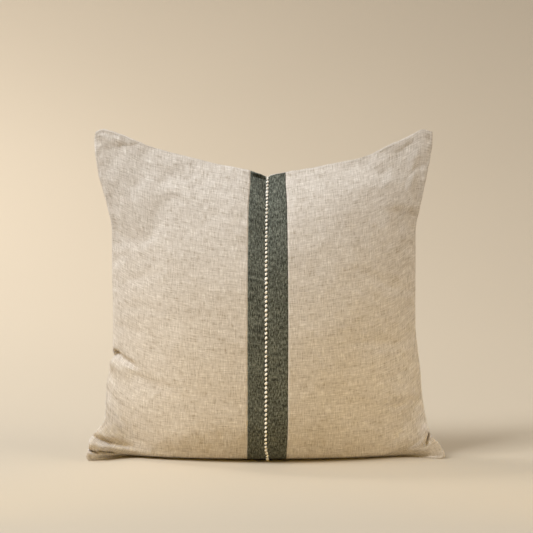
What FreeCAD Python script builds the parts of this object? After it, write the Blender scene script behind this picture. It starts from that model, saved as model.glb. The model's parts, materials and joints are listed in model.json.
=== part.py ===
import FreeCAD, Part
import math
import os

import Sketcher

# Square linen throw pillow, standing on its bottom edge. The front faces -Y, X runs along the
# width and Z is up. The origin is the middle of the flat underside. All lengths are millimetres.

SIZES = (
    ("base_width", 508.0, "tip to tip along the bottom edge"),
    ("waist_inset", 42.0, "how far each side pulls in at mid height"),
    ("top_inset", 17.0, "how far each top corner stands in from the bottom corner"),
    ("lower_sag", 8.0, "how far each side swells out low down"),
    ("centre_height", 396.0, "underside to the dip in the middle of the top edge"),
    ("corner_rise", 62.0, "how far the top corners stand above that dip"),
    ("full_depth", 164.0, "front to back at the fullest height"),
    ("base_depth", 88.0, "front to back across the flat underside"),
    ("zip_height", 112.0, "height of the zip, which is the fullest height"),
    ("cover_wall", 1.2, "thickness of the linen"),
    ("insert_wall", 0.8, "thickness of the pad's casing"),
    ("insert_inset", 6.0, "how far the pad stands in from the cover"),
    ("layer_gap", 0.4, "gap between two layers that lie on each other"),
    ("thread_size", 0.8, "thickness of a seam thread"),
    ("seam_inset", 3.4, "how far a seam thread lies inside the edge of its cloth"),
    ("stripe_width", 53.0, "width of the dark stripe on the front"),
    ("join_gap", 0.8, "gap between the two halves of the stripe"),
    ("stitch_pitch", 6.0, "spacing of the joining stitches"),
    ("stitch_length", 5.2, "length of one joining stitch"),
    ("stitch_radius", 1.3, "half the thickness of a joining stitch"),
    ("stitch_slant", 10.0, "lean of a joining stitch across the join, in degrees"),
    ("stitch_margin", 10.0, "bare stretch at each end of the joining stitches"),
    ("zip_length", 350.0, "length along the zip between its stops"),
    ("zip_slot", 12.0, "opening between the folded edges of the back"),
    ("slot_tail", 5.0, "how far the opening runs past the stops"),
    ("tape_width", 15.0, "width of one zip tape"),
    ("tape_thickness", 0.6, "thickness of a zip tape"),
    ("tape_room", 1.2, "room between the back cloth and the tape"),
    ("tape_tail", 16.0, "how far the tapes run past the stops"),
    ("coil_radius", 1.2, "half the thickness of a zip coil"),
    ("coil_gap", 1.2, "gap between the two coils"),
    ("coil_tail", 4.0, "how far the coils run past the stops"),
    ("stop_length", 3.0, "length of a zip stop along the zip"),
    ("stop_wall", 0.5, "wall of a zip stop round its coil"),
    ("row_offset", 4.0, "distance of a stitching row from the edge of the opening"),
    ("row_pitch", 6.0, "spacing of the stitches in a row"),
    ("row_stitch", 3.6, "length of one stitch in a row"),
    ("slide_gap", 0.35, "clearance round everything the slider runs along"),
    ("slider_length", 11.0, "length of the slider along the zip"),
    ("slider_plate", 1.1, "thickness of the slider's plates"),
    ("slider_flange", 1.0, "thickness of the slider's side flanges"),
    ("slider_web", 0.6, "thickness of the web between the slider's plates"),
    ("lug_size", 2.8, "width of a slider lug along the zip"),
    ("lug_wall", 0.9, "thickness of a slider lug"),
    ("bar_radius", 0.7, "radius of the bar that the pull tab hangs on"),
    ("bar_height", 2.1, "height of that bar above the slider's outer plate"),
    ("bar_gap", 0.08, "radial clearance of the pull tab on the bar"),
    ("eye_wall", 0.8, "wall of the pull tab's eye"),
    ("eye_width", 2.6, "width of the pull tab's eye"),
    ("tab_length", 27.0, "bar to the end of the pull tab"),
    ("tab_neck", 5.0, "bar to the wide part of the pull tab"),
    ("tab_width", 7.0, "width of the pull tab"),
    ("tab_thickness", 1.1, "thickness of the pull tab"),
    ("tab_corner", 1.8, "corner radius of the pull tab"),
    ("tab_hole", 1.5, "radius of the hole near the end of the pull tab"),
)

FRONT = -1
BACK = 1
STEPS_ACROSS = 21
STEPS_UP = 19

doc = FreeCAD.newDocument("ThrowPillow")
sheet = doc.addObject("Spreadsheet::Sheet", "Sizes")
for row, (alias, value, meaning) in enumerate(SIZES, start=1):
    sheet.set(f"A{row}", alias)
    sheet.set(f"B{row}", str(value))
    sheet.set(f"C{row}", meaning)
    sheet.setAlias(f"B{row}", alias)
doc.recompute()


def size(alias):
    """One driving dimension, read from the sheet."""
    return float(sheet.get(alias))


def derive(alias, value):
    """Adds a worked-out dimension to the sheet, below the driving ones."""
    derive.row += 1
    sheet.set(f"A{derive.row}", alias)
    sheet.set(f"B{derive.row}", repr(float(value)))
    sheet.setAlias(f"B{derive.row}", alias)


derive.row = len(SIZES) + 1


# ---------------------------------------------------------------- the cushion's outline and bulge

WAIST_FLARE_HEIGHT = 42.0     # height over which the bottom corners run out to their tips
SAG_HEIGHT = 80.0             # height of the swell low on each side
SAG_SPREAD = 45.0             # half the height that the swell covers
TOP_FLARE_START = 0.63        # share of the corner height where the sides start to flare again
RISE_START = 0.45             # share of the height above which level lines lift at the corners
DIP_ROUNDING = 0.08           # rounds the dip in the middle of the top edge
CORNER_INSET_FACTOR = 1.4     # an inset of 1 through the cloth moves the knife edge in this much


def ease(start, end, value):
    """Smooth step from 0 at start to 1 at end."""
    share = min(1.0, max(0.0, (value - start) / (end - start)))
    return share * share * (3.0 - 2.0 * share)


def half_width(height):
    """Half the width of the pillow's outline at one height."""
    corner_height = size("centre_height") + size("corner_rise")
    waist = size("base_width") / 2.0 - size("waist_inset")
    flare = size("waist_inset") - size("lower_sag") * math.exp(-(SAG_HEIGHT / SAG_SPREAD) ** 2)
    bottom = flare * math.exp(-(abs(height) / WAIST_FLARE_HEIGHT) ** 1.6)
    sag = size("lower_sag") * math.exp(-((height - SAG_HEIGHT) / SAG_SPREAD) ** 2)
    top = size("waist_inset") - size("top_inset")
    return waist + bottom + sag + top * ease(TOP_FLARE_START, 1.0, height / corner_height)


def corner_lift(across):
    """Share of the corner rise at a place across the top edge, from 0 in the middle to 1."""
    rounding = DIP_ROUNDING
    rounded = math.sqrt(across * across + rounding * rounding) - rounding
    return rounded / (math.sqrt(1.0 + rounding * rounding) - rounding)


def half_depth(level):
    """Half the front-to-back depth in the middle, at a share of the height in the middle."""
    fullest = size("zip_height") / size("centre_height")
    deepest = size("full_depth") / 2.0
    if level < fullest:
        missing = (deepest - size("base_depth") / 2.0) * ((fullest - level) / fullest) ** 2.2
        return deepest - missing
    return deepest * (1.0 - ((level - fullest) / (1.0 - fullest)) ** 2.3)


def surface_point(across, level, side, inset, floor):
    """A point of the cushion's skin: across runs -1 to 1 and level runs 0 to 1 up the cushion."""
    edge_inset = inset * CORNER_INSET_FACTOR
    rise = size("corner_rise") * corner_lift(across) * ease(RISE_START, 1.0, level)
    full_rise = size("corner_rise") * ease(RISE_START, 1.0, level)
    top = size("centre_height") - edge_inset
    height = floor + (top - floor) * level + rise
    edge_height = floor + (top - floor) * level + full_rise
    width = half_width(edge_height) - edge_inset
    depth = max(0.0, half_depth(level) - inset * (1.0 - level ** 6))
    place = across * width
    if depth < 1e-6:
        return FreeCAD.Vector(place, 0.0, height)
    radius = (width * width + depth * depth) / (2.0 * depth)
    bulge = math.sqrt(max(0.0, radius * radius - place * place)) - (radius - depth)
    return FreeCAD.Vector(place, side * max(0.0, bulge), height)


def spaced(count, low):
    """Shares from low to 1, closer together at both ends."""
    middle = (1.0 + low) / 2.0
    half = (1.0 - low) / 2.0
    return [middle - half * math.cos(math.pi * step / (count - 1)) for step in range(count)]


def skin_surface(side, inset, floor):
    """The bulging skin of one half of the cushion."""
    surface = Part.BSplineSurface()
    surface.interpolate([
        [surface_point(across, level, side, inset, floor) for level in spaced(STEPS_UP, 0.0)]
        for across in spaced(STEPS_ACROSS, -1.0)
    ])
    return surface


def edge_curves(surface):
    """The left, top and right edges of a skin, which lie in the plane between front and back."""
    first_across, last_across, first_level, last_level = surface.bounds()
    left = surface.uIso(first_across).toShape()
    top = surface.vIso(last_level).toShape()
    right = surface.uIso(last_across).toShape()
    bottom = surface.vIso(first_level).toShape()
    return left, top, right, bottom


def ends(edge):
    """First and last point of an edge."""
    return edge.valueAt(edge.FirstParameter), edge.valueAt(edge.LastParameter)


def cushion_half(side, inset, floor):
    """Solid half of the cushion between its skin, the middle plane and a flat underside."""
    surface = skin_surface(side, inset, floor)
    left, top, right, bottom = edge_curves(surface)
    low_left, low_right = ends(bottom)
    base_line = Part.makeLine(low_left, low_right)
    middle = Part.Face(Part.Wire([left, top, right, base_line]))
    underside = Part.Face(Part.Wire([bottom, base_line]))
    shell = Part.makeShell([surface.toShape(), middle, underside])
    shell.sewShape()
    solid = Part.makeSolid(shell)
    if solid.Volume < 0.0:
        solid.reverse()
    return solid


def seam_ring(inset, floor, thickness):
    """A closed thread that follows the cushion's outline in the middle plane."""
    faces = []
    for extra in (0.0, thickness):
        left, top, right, bottom = edge_curves(skin_surface(FRONT, inset + extra, floor + extra))
        base_line = Part.makeLine(*ends(bottom))
        faces.append(Part.Face(Part.Wire([left, top, right, base_line])))
    ring = faces[0].cut(faces[1])
    ring.translate(FreeCAD.Vector(0.0, -thickness / 2.0, 0.0))
    return ring.extrude(FreeCAD.Vector(0.0, thickness, 0.0)).Solids[0]


# ------------------------------------------------------------------------------- document helpers

def put_shape(label, shape):
    """A Part::Feature that holds one shape, placed after its shape is set."""
    feature = doc.addObject("Part::Feature", label)
    feature.Label = label
    feature.Shape = shape
    feature.Placement = FreeCAD.Placement()
    return feature


def block(label, length, width, height, corner):
    """A box whose three lengths and low corner are expressions of the sheet."""
    box = doc.addObject("Part::Box", label)
    for name, expression in zip(("Length", "Width", "Height"), (length, width, height)):
        box.setExpression(name, expression)
    for axis, expression in zip("xyz", corner):
        box.setExpression(f"Placement.Base.{axis}", expression)
    return box


def combine(kind, label, base, tool):
    """A Part::Cut or Part::Common of two objects."""
    result = doc.addObject(kind, label)
    result.Label = label
    result.Base = base
    result.Tool = tool
    return result


def new_body(label, base_z):
    """A body on the zip's upright axis, with its own frame at the given height."""
    body = doc.addObject("PartDesign::Body", label)
    body.Label = label
    body.Placement = FreeCAD.Placement(
        FreeCAD.Vector(0.0, size("zip_axis_y"), base_z), FreeCAD.Rotation()
    )
    return body


def new_sketch(body, name, plane_role):
    """A sketch on one of the body's own origin planes."""
    sketch = body.newObject("Sketcher::SketchObject", name)
    plane = [item for item in body.Origin.OriginFeatures if item.Role == plane_role][0]
    sketch.AttachmentSupport = (plane, [""])
    sketch.MapMode = "FlatFace"
    return sketch


def draw_rectangle(sketch, left, right, low, high):
    """A rectangle held by four named distances from the sketch's origin."""
    corners = [FreeCAD.Vector(x, y, 0) for x, y in ((0, 0), (1, 0), (1, 1), (0, 1))]
    for index in range(4):
        line = Part.LineSegment(corners[index], corners[(index + 1) % 4])
        sketch.addGeometry(line, False)
    for index in range(4):
        sketch.addConstraint(Sketcher.Constraint("Coincident", index, 2, (index + 1) % 4, 1))
    for index, kind in enumerate(("Horizontal", "Vertical", "Horizontal", "Vertical")):
        sketch.addConstraint(Sketcher.Constraint(kind, index))
    holds = (
        ("left", "DistanceX", 0, 1, left),
        ("right", "DistanceX", 0, 2, right),
        ("low", "DistanceY", 0, 1, low),
        ("high", "DistanceY", 2, 1, high),
    )
    for name, kind, line, end, expression in holds:
        held = Sketcher.Constraint(kind, -1, 1, line, end, float(end))
        index = sketch.addConstraint(held)
        sketch.renameConstraint(index, name)
        sketch.setExpression(f"Constraints.{name}", expression)


def draw_circle(sketch, name, centre_x, centre_y, radius):
    """A circle held by its centre and radius."""
    circle = Part.Circle(FreeCAD.Vector(1, 1, 0), FreeCAD.Vector(0, 0, 1), 1.0)
    geometry = sketch.addGeometry(circle, False)
    holds = (
        (f"{name}_x", Sketcher.Constraint("DistanceX", -1, 1, geometry, 3, 1.0), centre_x),
        (f"{name}_y", Sketcher.Constraint("DistanceY", -1, 1, geometry, 3, 1.0), centre_y),
        (f"{name}_radius", Sketcher.Constraint("Radius", geometry, 1.0), radius),
    )
    for label, constraint, expression in holds:
        index = sketch.addConstraint(constraint)
        sketch.renameConstraint(index, label)
        sketch.setExpression(f"Constraints.{label}", expression)


def extrude(body, name, kind, sketch, length, offset=None):
    """A pad or pocket: about the sketch plane, or on one side from an offset."""
    feature = body.newObject(kind, name)
    feature.Profile = (sketch, [""])
    feature.setExpression("Length", length)
    if offset is None:
        feature.Midplane = True
    else:
        sketch.setExpression("AttachmentOffset.Base.z", offset)
        feature.Reversed = kind == "PartDesign::Pocket"
    sketch.Visibility = False
    return feature


def revolve(body, sketch, angle):
    """Turns a sketch about the body's upright axis, by the same angle each way."""
    turned = body.newObject("PartDesign::Revolution", "Turned")
    turned.Profile = (sketch, [""])
    turned.ReferenceAxis = (sketch, ["V_Axis"])
    turned.Midplane = True
    turned.setExpression("Angle", angle)
    return turned


def edges_along(shape, axis, reach=None):
    """Names of the straight edges parallel to an axis, if wanted only beyond a distance."""
    names = []
    for index, edge in enumerate(shape.Edges, start=1):
        if len(edge.Vertexes) != 2:
            continue
        run = edge.Vertexes[1].Point - edge.Vertexes[0].Point
        parallel = run.Length > 1e-6 and abs(run.normalize().dot(axis)) > 0.999
        if parallel and (reach is None or reach(edge.CenterOfMass)):
            names.append(f"Edge{index}")
    return names


# ------------------------------------------------------------------ the zip's round line, worked out

FULLEST = size("zip_height") / size("centre_height")
ZIP_LINE_END = surface_point(1.0, FULLEST, BACK, 0.0, 0.0).x
ZIP_LINE_DEPTH = surface_point(0.0, FULLEST, BACK, 0.0, 0.0).y
ZIP_RADIUS = (ZIP_LINE_END ** 2 + ZIP_LINE_DEPTH ** 2) / (2.0 * ZIP_LINE_DEPTH)
COIL_TRACK = ZIP_RADIUS - size("cover_wall") - size("tape_room") + size("coil_radius")

derive("zip_radius", ZIP_RADIUS)
derive("zip_axis_y", ZIP_LINE_DEPTH - ZIP_RADIUS)
derive("tape_face", ZIP_RADIUS - size("cover_wall") - size("tape_room"))
derive("coil_track", COIL_TRACK)
derive("zip_sweep", math.degrees(size("zip_length") / COIL_TRACK))
derive("coil_sweep", math.degrees((size("zip_length") + 2.0 * size("coil_tail")) / COIL_TRACK))
derive("tape_sweep", math.degrees((size("zip_length") + 2.0 * size("tape_tail")) / COIL_TRACK))
SLOT_ANGLE = (size("zip_length") / 2.0 + size("slot_tail")) / COIL_TRACK
derive("slot_half_length", ZIP_RADIUS * math.sin(SLOT_ANGLE))
doc.recompute()


# --------------------------------------------------------------------------------- linen cover

def cloth_half(label, side, inset, floor, wall):
    """One half of a cover or casing: its outer solid less the hollow inside it."""
    outer = put_shape(f"{label}_outer", cushion_half(side, inset, floor))
    inner = put_shape(f"{label}_hollow", cushion_half(side, inset + wall, floor + wall))
    return combine("Part::Cut", label, outer, inner)


def make_front(cloth):
    """Two linen halves and the two dark bands along their inner edges."""
    far = "Sizes.base_width"
    tall = "(Sizes.centre_height + Sizes.corner_rise) * 2"
    deep = "Sizes.full_depth * 2"
    band = "(Sizes.stripe_width - Sizes.join_gap) / 2"
    low = ("-Sizes.full_depth", "-Sizes.centre_height / 2")
    regions = (
        ("front_panel_left", far, "-Sizes.stripe_width / 2 - Sizes.base_width"),
        ("front_panel_right", far, "Sizes.stripe_width / 2"),
        ("dark_band_left", band, "-Sizes.stripe_width / 2"),
        ("dark_band_right", band, "Sizes.join_gap / 2"),
    )
    made = []
    for label, length, start in regions:
        region = block(f"{label}_region", length, deep, tall, (start,) + low)
        made.append(combine("Part::Common", label, cloth, region))
    return made


def make_back(cloth):
    """Upper and lower back panels, which meet at the zip's height outside its opening."""
    far = "Sizes.base_width * 2"
    tall = "Sizes.centre_height + Sizes.corner_rise"
    deep = "Sizes.full_depth"
    slot = block(
        "zip_opening", "Sizes.slot_half_length * 2", deep, "Sizes.zip_slot",
        ("-Sizes.slot_half_length", "0", "Sizes.zip_height - Sizes.zip_slot / 2"),
    )
    opened = combine("Part::Cut", "back_opened", cloth, slot)
    starts = (
        ("back_panel_upper", "Sizes.zip_height"),
        ("back_panel_lower", "Sizes.zip_height - Sizes.centre_height - Sizes.corner_rise"),
    )
    made = []
    for label, low in starts:
        corner = ("-Sizes.base_width", "-1", low)
        region = block(f"{label}_region", far, deep, tall, corner)
        made.append(combine("Part::Common", label, opened, region))
    return made


def make_joining_stitch():
    """The thick hand stitches that run along the join, one short leaning barrel each."""
    levels = [step / 400.0 for step in range(401)]
    line = [surface_point(0.0, level, FRONT, 0.0, 0.0) for level in levels]
    travelled = [0.0]
    for start, end in zip(line, line[1:]):
        travelled.append(travelled[-1] + (end - start).Length)
    usable = travelled[-1] - 2.0 * size("stitch_margin")
    count = int(usable / size("stitch_pitch"))
    first = (travelled[-1] - (count - 1) * size("stitch_pitch")) / 2.0
    radius = size("stitch_radius")
    length = size("stitch_length")
    slant = math.radians(size("stitch_slant"))
    stitches = []
    for number in range(count):
        wanted = first + number * size("stitch_pitch")
        index = max(i for i, run in enumerate(travelled[:-1]) if run <= wanted)
        share = (wanted - travelled[index]) / (travelled[index + 1] - travelled[index])
        centre = line[index] + (line[index + 1] - line[index]) * share
        along = (line[index + 1] - line[index]).normalize()
        outward = along.cross(FreeCAD.Vector(-1.0, 0.0, 0.0)).normalize()
        direction = along * math.cos(slant) + FreeCAD.Vector(math.sin(slant), 0.0, 0.0)
        start = centre + outward * radius * 0.5 - direction * length / 2.0
        barrel = Part.makeCylinder(radius, length, start, direction)
        stitches.append(barrel.makeFillet(radius * 0.6, barrel.Edges[:1] + barrel.Edges[2:]))
    return put_shape("joining_stitch", Part.makeCompound(stitches))


# ----------------------------------------------------------------------------------------- zip

def zip_point(angle, radius, height):
    """A point near the zip: the angle is measured from the middle of the back, towards +X."""
    return FreeCAD.Vector(
        radius * math.sin(angle), size("zip_axis_y") + radius * math.cos(angle), height
    )


def zip_frame(angle, radius):
    """A frame on the zip: X along the zip towards +X, Y outwards and Z up."""
    turn = FreeCAD.Rotation(FreeCAD.Vector(0.0, 0.0, 1.0), -math.degrees(angle))
    return FreeCAD.Placement(zip_point(angle, radius, size("zip_height")), turn)


def make_tape(label, low, high):
    """A zip tape, bent round the back."""
    body = new_body(label, 0.0)
    sketch = new_sketch(body, f"{label}_section", "YZ_Plane")
    draw_rectangle(sketch, "Sizes.tape_face - Sizes.tape_thickness", "Sizes.tape_face", low, high)
    revolve(body, sketch, "Sizes.tape_sweep")
    return body


def make_coil(label, height):
    """A zip coil, as the round outer form of its turns."""
    body = new_body(label, 0.0)
    sketch = new_sketch(body, f"{label}_section", "YZ_Plane")
    draw_circle(sketch, "coil", "Sizes.coil_track", height, "Sizes.coil_radius")
    revolve(body, sketch, "Sizes.coil_sweep")
    return body


def make_stops(label, angle, spans):
    """Crimped stops, one block for each height span."""
    wall = size("stop_wall")
    reach = size("coil_radius") + wall
    blocks = []
    for low, high in spans:
        corner = FreeCAD.Vector(-size("stop_length") / 2.0, -size("coil_radius"), low - wall)
        stop = Part.makeBox(
            size("stop_length"), size("coil_radius") + reach, high - low + 2.0 * wall, corner
        )
        stop = stop.makeFillet(wall, stop.Edges)
        stop.Placement = zip_frame(angle, size("coil_track")).multiply(stop.Placement)
        blocks.append(stop)
    return put_shape(label, Part.makeCompound(blocks))


def make_row(label, height):
    """A row of machine stitches through the back and the tape beneath it."""
    inner = size("tape_face") - size("tape_thickness") - size("thread_size") / 2.0
    outer = size("zip_radius") + size("thread_size") / 2.0
    count = int((size("zip_length") + 2.0 * size("slot_tail")) / size("row_pitch"))
    step = size("row_pitch") / size("coil_track")
    stitches = []
    for number in range(count):
        angle = (number - (count - 1) / 2.0) * step
        corner = FreeCAD.Vector(
            -size("row_stitch") / 2.0, 0.0, height - size("zip_height") - size("thread_size") / 2.0
        )
        stitch = Part.makeBox(size("row_stitch"), outer - inner, size("thread_size"), corner)
        stitch.Placement = zip_frame(angle, inner).multiply(stitch.Placement)
        stitches.append(stitch)
    return put_shape(label, Part.makeCompound(stitches))


def make_slider(angle):
    """The slider: two plates joined by a web, with flanges, two lugs and a bar."""
    body = new_body("zip_slider", 0.0)
    left = "-Sizes.slider_length / 2"
    right = "Sizes.slider_length / 2"
    coil_top = "Sizes.coil_radius + Sizes.slide_gap"
    tape_top = "-Sizes.coil_radius + Sizes.slide_gap"
    tape_low = "-Sizes.coil_radius - Sizes.tape_thickness - Sizes.slide_gap"
    outer = f"{coil_top} + Sizes.slider_plate"
    inner = f"{tape_low} - Sizes.slider_plate"
    coil_side = "(Sizes.coil_gap / 2 + 2 * Sizes.coil_radius + Sizes.slide_gap)"
    side = f"({coil_side} + Sizes.slider_flange)"
    half_web = "(Sizes.slider_web / 2)"

    plates = new_sketch(body, "plates", "XY_Plane")
    draw_rectangle(plates, left, right, inner, outer)
    extrude(body, "Plates", "PartDesign::Pad", plates, f"2 * {side}")

    channel = new_sketch(body, "coil_channel", "XY_Plane")
    draw_rectangle(channel, f"{left} - 1", f"{right} + 1", tape_low, coil_top)
    coil_cut = extrude(
        body, "CoilChannel", "PartDesign::Pocket", channel, f"{coil_side} - {half_web}", half_web
    )
    slot = new_sketch(body, "tape_slot", "XY_Plane")
    draw_rectangle(slot, f"{left} - 1", f"{right} + 1", tape_low, tape_top)
    tape_cut = extrude(
        body, "TapeSlot", "PartDesign::Pocket", slot, "Sizes.slider_flange + 1", coil_side
    )
    mirrored = body.newObject("PartDesign::Mirrored", "OtherSide")
    mirrored.Originals = [coil_cut, tape_cut]
    middle = [item for item in body.Origin.OriginFeatures if item.Role == "XY_Plane"][0]
    mirrored.MirrorPlane = (middle, [""])
    body.Tip = mirrored

    lug_room = "(Sizes.eye_width + 2 * Sizes.slide_gap)"
    bar_y = f"{outer} + Sizes.bar_height"
    lugs = new_sketch(body, "lugs", "XY_Plane")
    draw_rectangle(
        lugs, "-Sizes.lug_size / 2", "Sizes.lug_size / 2", f"{outer} - Sizes.slider_plate / 2",
        f"{bar_y} + Sizes.bar_radius + Sizes.bar_gap",
    )
    extrude(body, "Lugs", "PartDesign::Pad", lugs, f"{lug_room} + 2 * Sizes.lug_wall")
    room = new_sketch(body, "lug_room", "XY_Plane")
    draw_rectangle(
        room, "-Sizes.lug_size", "Sizes.lug_size", outer, f"{bar_y} + 2 * Sizes.lug_size"
    )
    extrude(body, "LugRoom", "PartDesign::Pocket", room, lug_room)
    bar = new_sketch(body, "bar", "XY_Plane")
    draw_circle(bar, "bar", "0", bar_y, "Sizes.bar_radius")
    extrude(body, "Bar", "PartDesign::Pad", bar, f"{lug_room} + Sizes.lug_wall")
    body.Placement = zip_frame(angle, size("coil_track"))
    return body


def make_pull_tab(angle):
    """The pull tab: an eye round the slider's bar, a neck and a rounded paddle."""
    body = new_body("zip_pull_tab", 0.0)
    eye = new_sketch(body, "eye", "XY_Plane")
    draw_circle(eye, "hole", "0", "0", "Sizes.bar_radius + Sizes.bar_gap")
    draw_circle(eye, "rim", "0", "0", "Sizes.bar_radius + Sizes.bar_gap + Sizes.eye_wall")
    extrude(body, "Eye", "PartDesign::Pad", eye, "Sizes.eye_width")
    neck = new_sketch(body, "neck", "XY_Plane")
    draw_rectangle(
        neck, "Sizes.bar_radius + Sizes.bar_gap + Sizes.eye_wall / 2", "Sizes.tab_neck + 1",
        "-Sizes.tab_thickness / 2", "Sizes.tab_thickness / 2",
    )
    extrude(body, "Neck", "PartDesign::Pad", neck, "Sizes.eye_width")
    paddle = new_sketch(body, "paddle", "XY_Plane")
    draw_rectangle(
        paddle, "Sizes.tab_neck", "Sizes.tab_length",
        "-Sizes.tab_thickness / 2", "Sizes.tab_thickness / 2",
    )
    wide = extrude(body, "Paddle", "PartDesign::Pad", paddle, "Sizes.tab_width")
    doc.recompute()
    half_width_of_tab = size("tab_width") / 2.0
    outer_edges = edges_along(
        wide.Shape, FreeCAD.Vector(0.0, 1.0, 0.0),
        lambda centre: abs(abs(centre.z) - half_width_of_tab) < 0.01,
    )
    rounded = body.newObject("PartDesign::Fillet", "Corners")
    rounded.Base = (wide, outer_edges)
    rounded.setExpression("Radius", "Sizes.tab_corner")
    hole = new_sketch(body, "paddle_hole", "XZ_Plane")
    draw_circle(hole, "hole", "Sizes.tab_length - Sizes.tab_width / 2", "0", "Sizes.tab_hole")
    extrude(body, "Hole", "PartDesign::Pocket", hole, "Sizes.tab_thickness * 3")
    bar_radius = size("coil_track") + size("coil_radius") + size("slide_gap")
    bar_radius += size("slider_plate") + size("bar_height")
    body.Placement = zip_frame(angle, bar_radius)
    return body


def make_zip():
    """Tapes, coils, stops, stitching rows, slider and pull tab."""
    height = "Sizes.zip_height"
    near = f"{height} + Sizes.coil_gap / 2"
    far = f"{near} + Sizes.tape_width"
    near_low = f"{height} - Sizes.coil_gap / 2"
    far_low = f"{near_low} - Sizes.tape_width"
    upper = (size("coil_gap") / 2.0, size("coil_gap") / 2.0 + 2.0 * size("coil_radius"))
    lower = (-upper[1], -upper[0])
    half_zip = size("zip_length") / 2.0
    stop_angle = (half_zip + size("stop_length") / 2.0) / size("coil_track")
    rest_run = half_zip - size("slider_length") / 2.0 - size("slide_gap")
    rest_angle = -rest_run / size("coil_track")
    row_height = size("zip_slot") / 2.0 + size("row_offset")
    return [
        make_tape("zip_tape_upper", near, far),
        make_tape("zip_tape_lower", far_low, near_low),
        make_coil("zip_coil_upper", f"{near} + Sizes.coil_radius"),
        make_coil("zip_coil_lower", f"{near_low} - Sizes.coil_radius"),
        make_stops("zip_top_stops", -stop_angle, (upper, lower)),
        make_stops("zip_bottom_stop", stop_angle, ((lower[0], upper[1]),)),
        make_row("zip_stitching_upper", size("zip_height") + row_height),
        make_row("zip_stitching_lower", size("zip_height") - row_height),
        make_slider(rest_angle),
        make_pull_tab(rest_angle),
    ]


# ------------------------------------------------------------------------------- pad inside

def make_insert():
    """The pad: a casing of two halves, its seam thread and the filling."""
    inset = size("insert_inset")
    floor = size("cover_wall") + 2.0 * size("layer_gap") + size("thread_size")
    wall = size("insert_wall")
    casing = [
        cloth_half("insert_casing_front", FRONT, inset, floor, wall),
        cloth_half("insert_casing_back", BACK, inset, floor, wall),
    ]
    fill_inset = inset + wall + size("seam_inset")
    fill_floor = floor + wall + size("layer_gap")
    halves = [cushion_half(side, fill_inset, fill_floor) for side in (FRONT, BACK)]
    filling = put_shape("insert_filling", halves[0].fuse(halves[1]).removeSplitter())
    return casing + [filling]


# -------------------------------------------------------------------------------------- build

subparts = make_front(cloth_half("front_cloth", FRONT, 0.0, 0.0, size("cover_wall")))
subparts += make_back(cloth_half("back_cloth", BACK, 0.0, 0.0, size("cover_wall")))
subparts.append(make_joining_stitch())
seam_floor = size("cover_wall") + size("layer_gap")
ring = seam_ring(size("seam_inset"), seam_floor, size("thread_size"))
subparts.append(put_shape("side_seam_thread", ring))
subparts += make_zip()
subparts += make_insert()
doc.recompute()

for item in doc.Objects:
    if {"Invalid", "Error"} & set(item.State):
        raise RuntimeError(f"{item.Label} failed: {item.State}")
for item in subparts:
    if item.Shape.isNull() or not item.Shape.isValid():
        raise RuntimeError(f"{item.Label} has no valid shape")

os.makedirs("parts", exist_ok=True)
for item in subparts:
    item.Shape.exportStep(f"parts/{item.Label}.step")
    box = item.Shape.BoundBox
    print(
        f"{item.Label:24s} solids {len(item.Shape.Solids):3d} volume {item.Shape.Volume / 1000:10.3f} cm3 "
        f"x {box.XMin:8.2f} {box.XMax:8.2f} y {box.YMin:8.2f} {box.YMax:8.2f} "
        f"z {box.ZMin:8.2f} {box.ZMax:8.2f}"
    )
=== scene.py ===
import json
import logging
import math
import random
from dataclasses import dataclass, field
from enum import Enum
from typing import Callable, Sequence, Union

import bmesh
import bpy
from mathutils import Matrix, Vector, noise


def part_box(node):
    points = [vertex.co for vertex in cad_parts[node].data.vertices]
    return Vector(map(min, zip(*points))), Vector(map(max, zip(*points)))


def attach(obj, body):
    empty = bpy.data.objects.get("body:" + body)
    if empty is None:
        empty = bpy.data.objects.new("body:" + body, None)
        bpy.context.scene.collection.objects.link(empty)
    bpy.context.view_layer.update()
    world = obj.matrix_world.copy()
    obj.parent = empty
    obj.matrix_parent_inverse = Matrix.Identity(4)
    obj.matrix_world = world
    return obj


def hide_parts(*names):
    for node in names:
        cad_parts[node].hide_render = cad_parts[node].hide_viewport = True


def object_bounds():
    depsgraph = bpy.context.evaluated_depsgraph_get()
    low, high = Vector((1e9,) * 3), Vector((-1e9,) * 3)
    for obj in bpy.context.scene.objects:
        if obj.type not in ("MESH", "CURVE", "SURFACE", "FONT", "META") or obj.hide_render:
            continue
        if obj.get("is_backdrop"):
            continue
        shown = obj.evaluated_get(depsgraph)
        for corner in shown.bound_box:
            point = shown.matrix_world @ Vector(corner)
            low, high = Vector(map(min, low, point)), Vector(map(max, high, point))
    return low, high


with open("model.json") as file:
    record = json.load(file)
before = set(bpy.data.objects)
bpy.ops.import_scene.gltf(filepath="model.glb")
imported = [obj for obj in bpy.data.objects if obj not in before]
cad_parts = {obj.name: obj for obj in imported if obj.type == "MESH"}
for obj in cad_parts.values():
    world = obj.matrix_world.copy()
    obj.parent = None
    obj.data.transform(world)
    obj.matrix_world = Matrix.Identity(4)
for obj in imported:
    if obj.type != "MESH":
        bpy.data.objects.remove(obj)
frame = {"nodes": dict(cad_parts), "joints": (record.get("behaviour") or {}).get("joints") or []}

CAD_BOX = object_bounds()
CLOTH_UV = "cloth"
# how far the dark bands rise over the middle of the top edge
BAND_RISE = 0.002
LOG = logging.getLogger("throw_pillow")

Colour = tuple[float, float, float]


# ------------------------------------------------------------------------------ plain helpers

def ease(start: float, end: float, value: float) -> float:
    """Smooth step.

    Args:
        start: Value where the step is 0.
        end: Value where the step is 1.
        value: Value to look up.

    Returns:
        A number from 0 to 1.
    """
    share = min(1.0, max(0.0, (value - start) / (end - start)))
    return share * share * (3.0 - 2.0 * share)


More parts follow.
